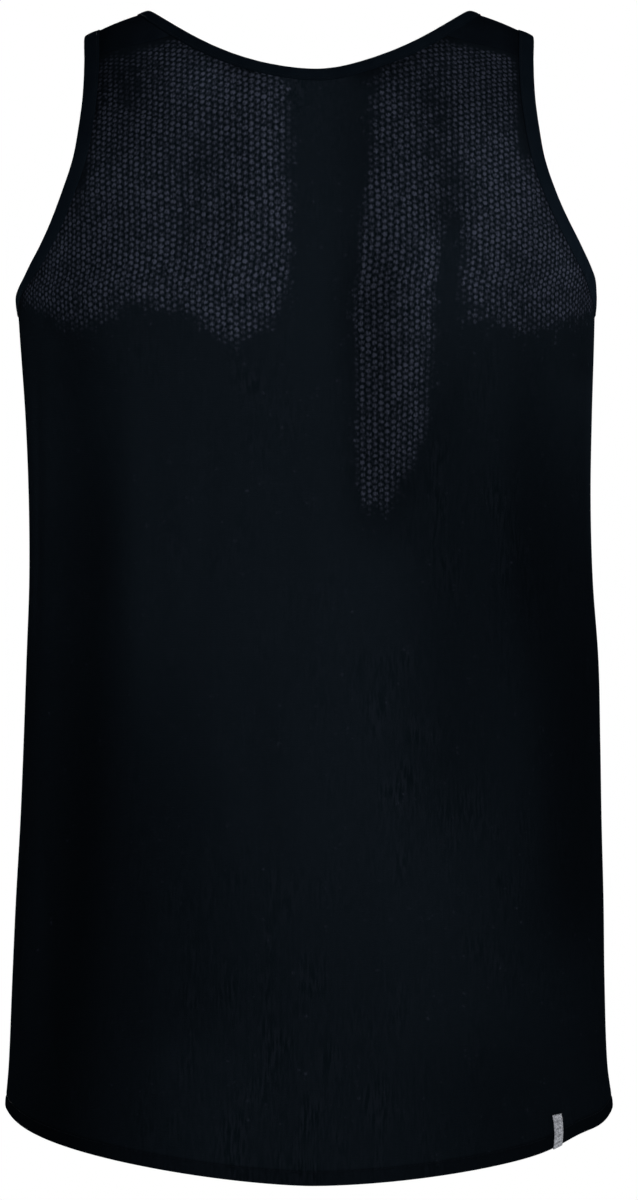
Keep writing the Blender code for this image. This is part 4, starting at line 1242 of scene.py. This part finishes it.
def binding_piece(name, edge_curve, start, end, inward_sign, width):
    """A strip folded over the edge of an opening, its length, and the lines of stitches on both its sides."""
    turns, length = even_turns("back", edge_curve, start, end, BINDING_STEP, BINDING_FINENESS)
    edge = edge_curve("back", turns[:-1])
    count = len(edge)
    run = np.arange(count + 1) * length / count
    pucker = wander(run[:-1], BINDING_PUCKERS)
    at, out = {}, {}
    for share in (*WIDTH_SHARES, 0.0):
        place = inward(edge, inward_sign * share * width)
        at[share] = cloth_face("back", *place.T)
        out[share] = facing_out(cloth_face, "back", *place.T)
    beyond = unit(at[0.0] - at[WIDTH_SHARES[-1]])
    outside = {share: leg_height(share, width, pucker) for share in WIDTH_SHARES}
    inner = {share: CLOTH + leg_height(share, width, -pucker) for share in WIDTH_SHARES}
    rings = [at[share] + out[share] * outside[share] for share in WIDTH_SHARES]
    crown = leg_height(0.0, width, pucker) + CLOTH / 2
    for k in range(CROWN_STEPS + 1):
        angle = math.pi * k / CROWN_STEPS
        bulge = crown * (1.0 + CROWN_PUCKER * pucker[:, None] * math.sin(angle)) * math.sin(angle)
        rings.append(at[0.0] + beyond * bulge + out[0.0] * (crown * math.cos(angle) - CLOTH / 2))
    rings += [at[share] - out[share] * inner[share] for share in reversed(WIDTH_SHARES)]
    snug = BINDING_CLEARANCE
    rings += [at[share] - out[share] * (CLOTH + snug) for share in SNUG_SHARES]
    rings.append(at[0.0] + beyond * snug - out[0.0] * (CLOTH + snug))
    rings.append(at[0.0] + beyond * snug + out[0.0] * snug)
    rings += [at[share] + out[share] * snug for share in reversed(SNUG_SHARES)]
    rings = np.stack(rings, axis=1)
    sides = rings.shape[1]
    index = np.arange(count * sides).reshape(count, sides)
    quads = between_rings(index).reshape(-1, 4)
    round_it = np.linalg.norm(np.diff(rings, axis=1, append=rings[:, :1]), axis=-1).mean(axis=0)
    around = running_total(round_it)
    u = np.stack([run[:-1], run[:-1], run[1:], run[1:]], axis=-1)[:, None, :].repeat(sides, axis=1)
    v = np.stack([around[:-1], around[1:], around[1:], around[:-1]], axis=-1)[None].repeat(count, axis=0)
    corners = np.stack([u, v], axis=-1).reshape(-1, 4, 2)
    flat = rings.reshape(-1, 3)
    if not points_out(flat, quads):
        quads, corners = quads[:, ::-1], corners[:, ::-1]
    piece = mesh_piece(name, flat, quads, corners.reshape(-1, 2), binding_knit)
    # Painted light on the strip's lower parts.
    low = smooth((flat[:, 2] - BINDING_PAINTED_LIGHT_FROM) / (BINDING_PAINTED_LIGHT_TO - BINDING_PAINTED_LIGHT_FROM))
    mark(piece, "painted_shading", 2.0 ** (BINDING_PAINTED_LIGHT * low))
    stitched = min(WIDTH_SHARES, key=lambda share: abs((1.0 - share) * width - BINDING_STITCH_INSET))
    line = at[stitched] + out[stitched] * outside[stitched]
    inner_line = at[stitched] - out[stitched] * (CLOTH + outside[stitched])
    return piece, length, [(line, out[stitched]), (inner_line, -out[stitched])]


STITCH_PITCH = 0.0030
STITCH_LENGTH = 0.0023
STITCH_THICKNESS = 0.00042
STITCH_SIDES = 6
STITCH_RINGS = 4
THREAD_ROUGHNESS = 0.65
THREAD_SPECULAR = 0.03
THREAD_TWIST = 0.0006
THREAD_RELIEF = 0.00008
THREAD_SHADE = (0.0015, 0.0025, 0.0040)
THREAD_COLOUR = (0.0060, 0.0085, 0.0125)

thread = cloth_finish("thread_finish", THREAD_ROUGHNESS, THREAD_SPECULAR)
along, round_it = pattern_place(thread.node_tree)
twist = (along + round_it).waves(THREAD_TWIST).stepped(-1.0, 1.0)
coloured(twist, THREAD_SHADE, THREAD_COLOUR)
raised(twist, THREAD_RELIEF)

bpy.ops.mesh.primitive_uv_sphere_add(
    segments=STITCH_SIDES, ring_count=STITCH_RINGS, radius=STITCH_THICKNESS / 2
)
stitch = bpy.context.object
for end in (-1.0, 1.0):
    bpy.ops.object.mode_set(mode="EDIT")
    bpy.ops.mesh.select_all(action="DESELECT")
    bpy.ops.object.mode_set(mode="OBJECT")
    for vertex in stitch.data.vertices:
        vertex.select = vertex.co.z * end > STITCH_THICKNESS / 10
    bpy.ops.object.mode_set(mode="EDIT")
    bpy.ops.transform.translate(value=(0.0, 0.0, end * (STITCH_LENGTH - STITCH_THICKNESS) / 2))
    bpy.ops.object.mode_set(mode="OBJECT")
stitch_points = np.array([vertex.co for vertex in stitch.data.vertices])
stitch.data.calc_loop_triangles()
stitch_faces = np.array([triangle.vertices for triangle in stitch.data.loop_triangles])
stitch_corners = stitch_points[stitch_faces.ravel()][:, [2, 0]]
bpy.data.objects.remove(stitch, do_unlink=True)


def stitch_row(name, lines, closed):
    """Stitches at an even pitch along lines, each given with the way out of the cloth at its points."""
    points, corners = [], []
    for line, out in lines:
        if closed:
            line, out = np.concatenate([line, line[:1]]), np.concatenate([out, out[:1]])
        run = run_along(line)
        number = round(run[-1] / STITCH_PITCH)
        at = (np.arange(number) + 0.5) * run[-1] / number

        def read(rows, where):
            return np.stack([np.interp(where, run, column) for column in rows.T], axis=-1)

        lift = unit(read(out, at))
        ahead = unit(read(line, at + STITCH_LENGTH / 4) - read(line, at - STITCH_LENGTH / 4))
        frames = np.stack([unit(np.cross(lift, ahead)), lift, ahead], axis=1)
        points.append(read(line, at)[:, None] + stitch_points @ frames)
        corners.append(stitch_corners + np.stack([at, 0.0 * at], axis=-1)[:, None])
    points = np.concatenate(points)
    faces = stitch_faces + (np.arange(len(points)) * len(stitch_points))[:, None, None]
    corners = np.concatenate(corners).reshape(-1, 2)
    row = mesh_piece(name, points.reshape(-1, 3), faces.reshape(-1, 3), corners, thread)
    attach(row, "root")
    return row


def left_armhole_edge(side, climb):
    return armhole_edge(side, climb) * (-1.0, 1.0)


BINDINGS = table(
    "strip stitches node edge_curve from_turn to_turn inward width",
    ("neck_strip", "neck_stitches", "neck_binding", neck_edge, -math.pi, math.pi, -1.0, NECK_BINDING_WIDTH),
    (
        "armhole_strip_left", "armhole_stitches_left", "armhole_binding_left",
        left_armhole_edge, 0.0, math.pi, -1.0, ARMHOLE_BINDING_WIDTH,
    ),
    (
        "armhole_strip_right", "armhole_stitches_right", "armhole_binding_right",
        armhole_edge, 0.0, math.pi, 1.0, ARMHOLE_BINDING_WIDTH,
    ),
)
for binding in BINDINGS:
    strip, length, lines = binding_piece(
        binding.strip, binding.edge_curve, binding.from_turn, binding.to_turn, binding.inward, binding.width
    )
    stitches = stitch_row(binding.stitches, lines, True)
    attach(strip, "root")
    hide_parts(binding.node)


# Hem and vent stitching. One row holds the turned-up cloth all round, just under its raw edge, and shows
# outside and inside. A short tack of close stitches across each side seam keeps the vent from tearing.
HEM_STITCH_REACH = 0.004
HEM_LINE_POINTS = 400
TACK_STITCHES = 9
TACK_POINTS = 5
TACK_ABOVE_VENT = 2
TACK_PITCH = 0.00048

for side, on_slot in (("back", "eyelet_mesh"), ("front", "plain_knit")):
    reach = SIDE_SEAM - VENT_OPENING - HEM_STITCH_REACH
    across = np.linspace(-reach, reach, HEM_LINE_POINTS)
    up = hem_line(side, across) + HEM_STITCH_LINE
    out = facing_out(cloth_face, side, across, up)
    line = cloth_face(side, across, up) + hem_relief(side, across, up)[:, None] * out
    lines = [(line, out), (line - (CLOTH + TURNED_UP) * out, -out)]
    stitch_row(f"hem_stitches_{side}", lines, False)

for tack_side, sign in (("left", -1.0), ("right", 1.0)):
    lines = []
    for k in range(TACK_STITCHES):
        across = sign * (SIDE_SEAM + np.linspace(-STITCH_PITCH / 2, STITCH_PITCH / 2, TACK_POINTS))
        up = np.full(across.shape, vent_top - TACK_PITCH * (k - TACK_ABOVE_VENT))
        out = facing_out(cloth_face, "back", across, up)
        lines.append((cloth_face("back", across, up) + TACK_PITCH / 4 * out, out))
    stitch_row(f"vent_tack_{tack_side}", lines, False)


# Hem label. It is a short piece of light grey woven tape, folded over the back hem near the side vent
# and caught in the hem's stitching. It is blank, with a few plain woven bars.
LABEL_PLACE = 0.1488
LABEL_WIDTH = 0.0067
LABEL_LENGTH = 0.0189
LABEL_INNER_SHARE = 0.86
LABEL_LEAN = 0.0002
LABEL_BOW = 0.0009
LABEL_SLANT = 0.0006
LABEL_INNER_SHIFT = 0.0020
LABEL_CLOTH = 0.00045
LABEL_OFF_CLOTH = 0.00062
LABEL_FOLD_DEPTH = 0.00095
LABEL_COLUMNS = 8
LABEL_ROWS = 14
LABEL_PROBE = 0.001
LABEL_FOLD_ROWS = 7
LABEL_ROUGHNESS = 0.55
LABEL_SPECULAR = 0.35
LABEL_SHEEN = 0.10
LABEL_SHADE = (0.120, 0.126, 0.142)
LABEL_LIGHT = (0.540, 0.560, 0.615)
LABEL_PATCHES = Patches(0.0010, 1.0, 2.0, 0.38, 0.60, 0.30, 1.0)
WEAVE = 0.00045
WEAVE_STRETCH = 1.3
WEAVE_RELIEF = 0.00012
BAR_SPACING = 0.0042
BAR_START, BAR_FULL = 0.55, 0.75
BAR_REACH, BAR_END = 0.0016, 0.0021
BAR_DARKENS = 0.35

label_weave = cloth_finish("label_weave_finish", LABEL_ROUGHNESS, LABEL_SPECULAR, LABEL_SHEEN)
tree = label_weave.node_tree
across, up = pattern_place(tree)
woven = (across.waves(WEAVE) * up.waves(WEAVE * WEAVE_STRETCH)).stepped(-1.0, 1.0)
middle_of_tape = across.worked("ABSOLUTE").stepped(BAR_REACH, BAR_END, 1.0, 0.0)
bars = up.waves(BAR_SPACING).stepped(BAR_START, BAR_FULL) * middle_of_tape * BAR_DARKENS
level = (woven + 1.0) * (patchy(tree, LABEL_PATCHES) * 0.5) - bars
coloured(level, LABEL_SHADE, LABEL_LIGHT)
raised(woven, WEAVE_RELIEF)

# How far each row of the tape is risen from the hem's edge, and turned round it from outside to inside.
tape_rows = [(1.0 - k / LABEL_ROWS, 0.0) for k in range(LABEL_ROWS)]
tape_rows += [(0.0, k / LABEL_FOLD_ROWS) for k in range(LABEL_FOLD_ROWS + 1)]
tape_rows += [(LABEL_INNER_SHARE * k / LABEL_ROWS, 1.0) for k in range(1, LABEL_ROWS)]
aside = np.linspace(-0.5, 0.5, LABEL_COLUMNS + 1)
beside = LABEL_PLACE + aside * LABEL_WIDTH
level_top = LABEL_LENGTH + hem_line("back", LABEL_PLACE) - hem_line("back", beside)
hem_middle = (CLOTH + TURNED_UP) / 2
rows = []
for risen, turn in tape_rows:
    rise = (level_top + LABEL_SLANT * aside) * risen
    share = rise / LABEL_LENGTH
    bow = LABEL_BOW * 4.0 * share * (1.0 - share)
    place = beside + LABEL_LEAN * share + bow + LABEL_INNER_SHIFT * smooth(turn)
    up = hem_line("back", place) + rise
    out = facing_out(cloth_face, "back", place, up)
    foot = cloth_face("back", place, up)
    downward = unit(foot - cloth_face("back", place, up + LABEL_PROBE))
    off = (hem_middle + LABEL_OFF_CLOTH) * math.cos(math.pi * turn) - hem_middle
    rows.append(foot + out * off + downward * LABEL_FOLD_DEPTH * math.sin(math.pi * turn))
rows = np.stack(rows)
steps = np.linalg.norm(np.diff(rows, axis=0), axis=-1).mean(axis=1)
tape_run = running_total(steps)
tape_places = np.stack(np.meshgrid(aside * LABEL_WIDTH, tape_run), axis=-1).reshape(-1, 2)
grid = np.arange(len(tape_places)).reshape(rows.shape[:2])
quads = np.stack([grid[:-1, :-1], grid[1:, :-1], grid[1:, 1:], grid[:-1, 1:]], axis=-1).reshape(-1, 4)
label = mesh_piece("label_tape", rows.reshape(-1, 3), quads, tape_places[quads.ravel()], label_weave)
bpy.ops.object.select_all(action="DESELECT")
bpy.context.view_layer.objects.active = label
label.select_set(True)
wall = label.modifiers.new("wall", "SOLIDIFY")
wall.thickness = LABEL_CLOTH
wall.offset = 0.0
bpy.ops.object.modifier_apply(modifier=wall.name)
label.select_set(False)
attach(label, "root")
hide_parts("hem_label")
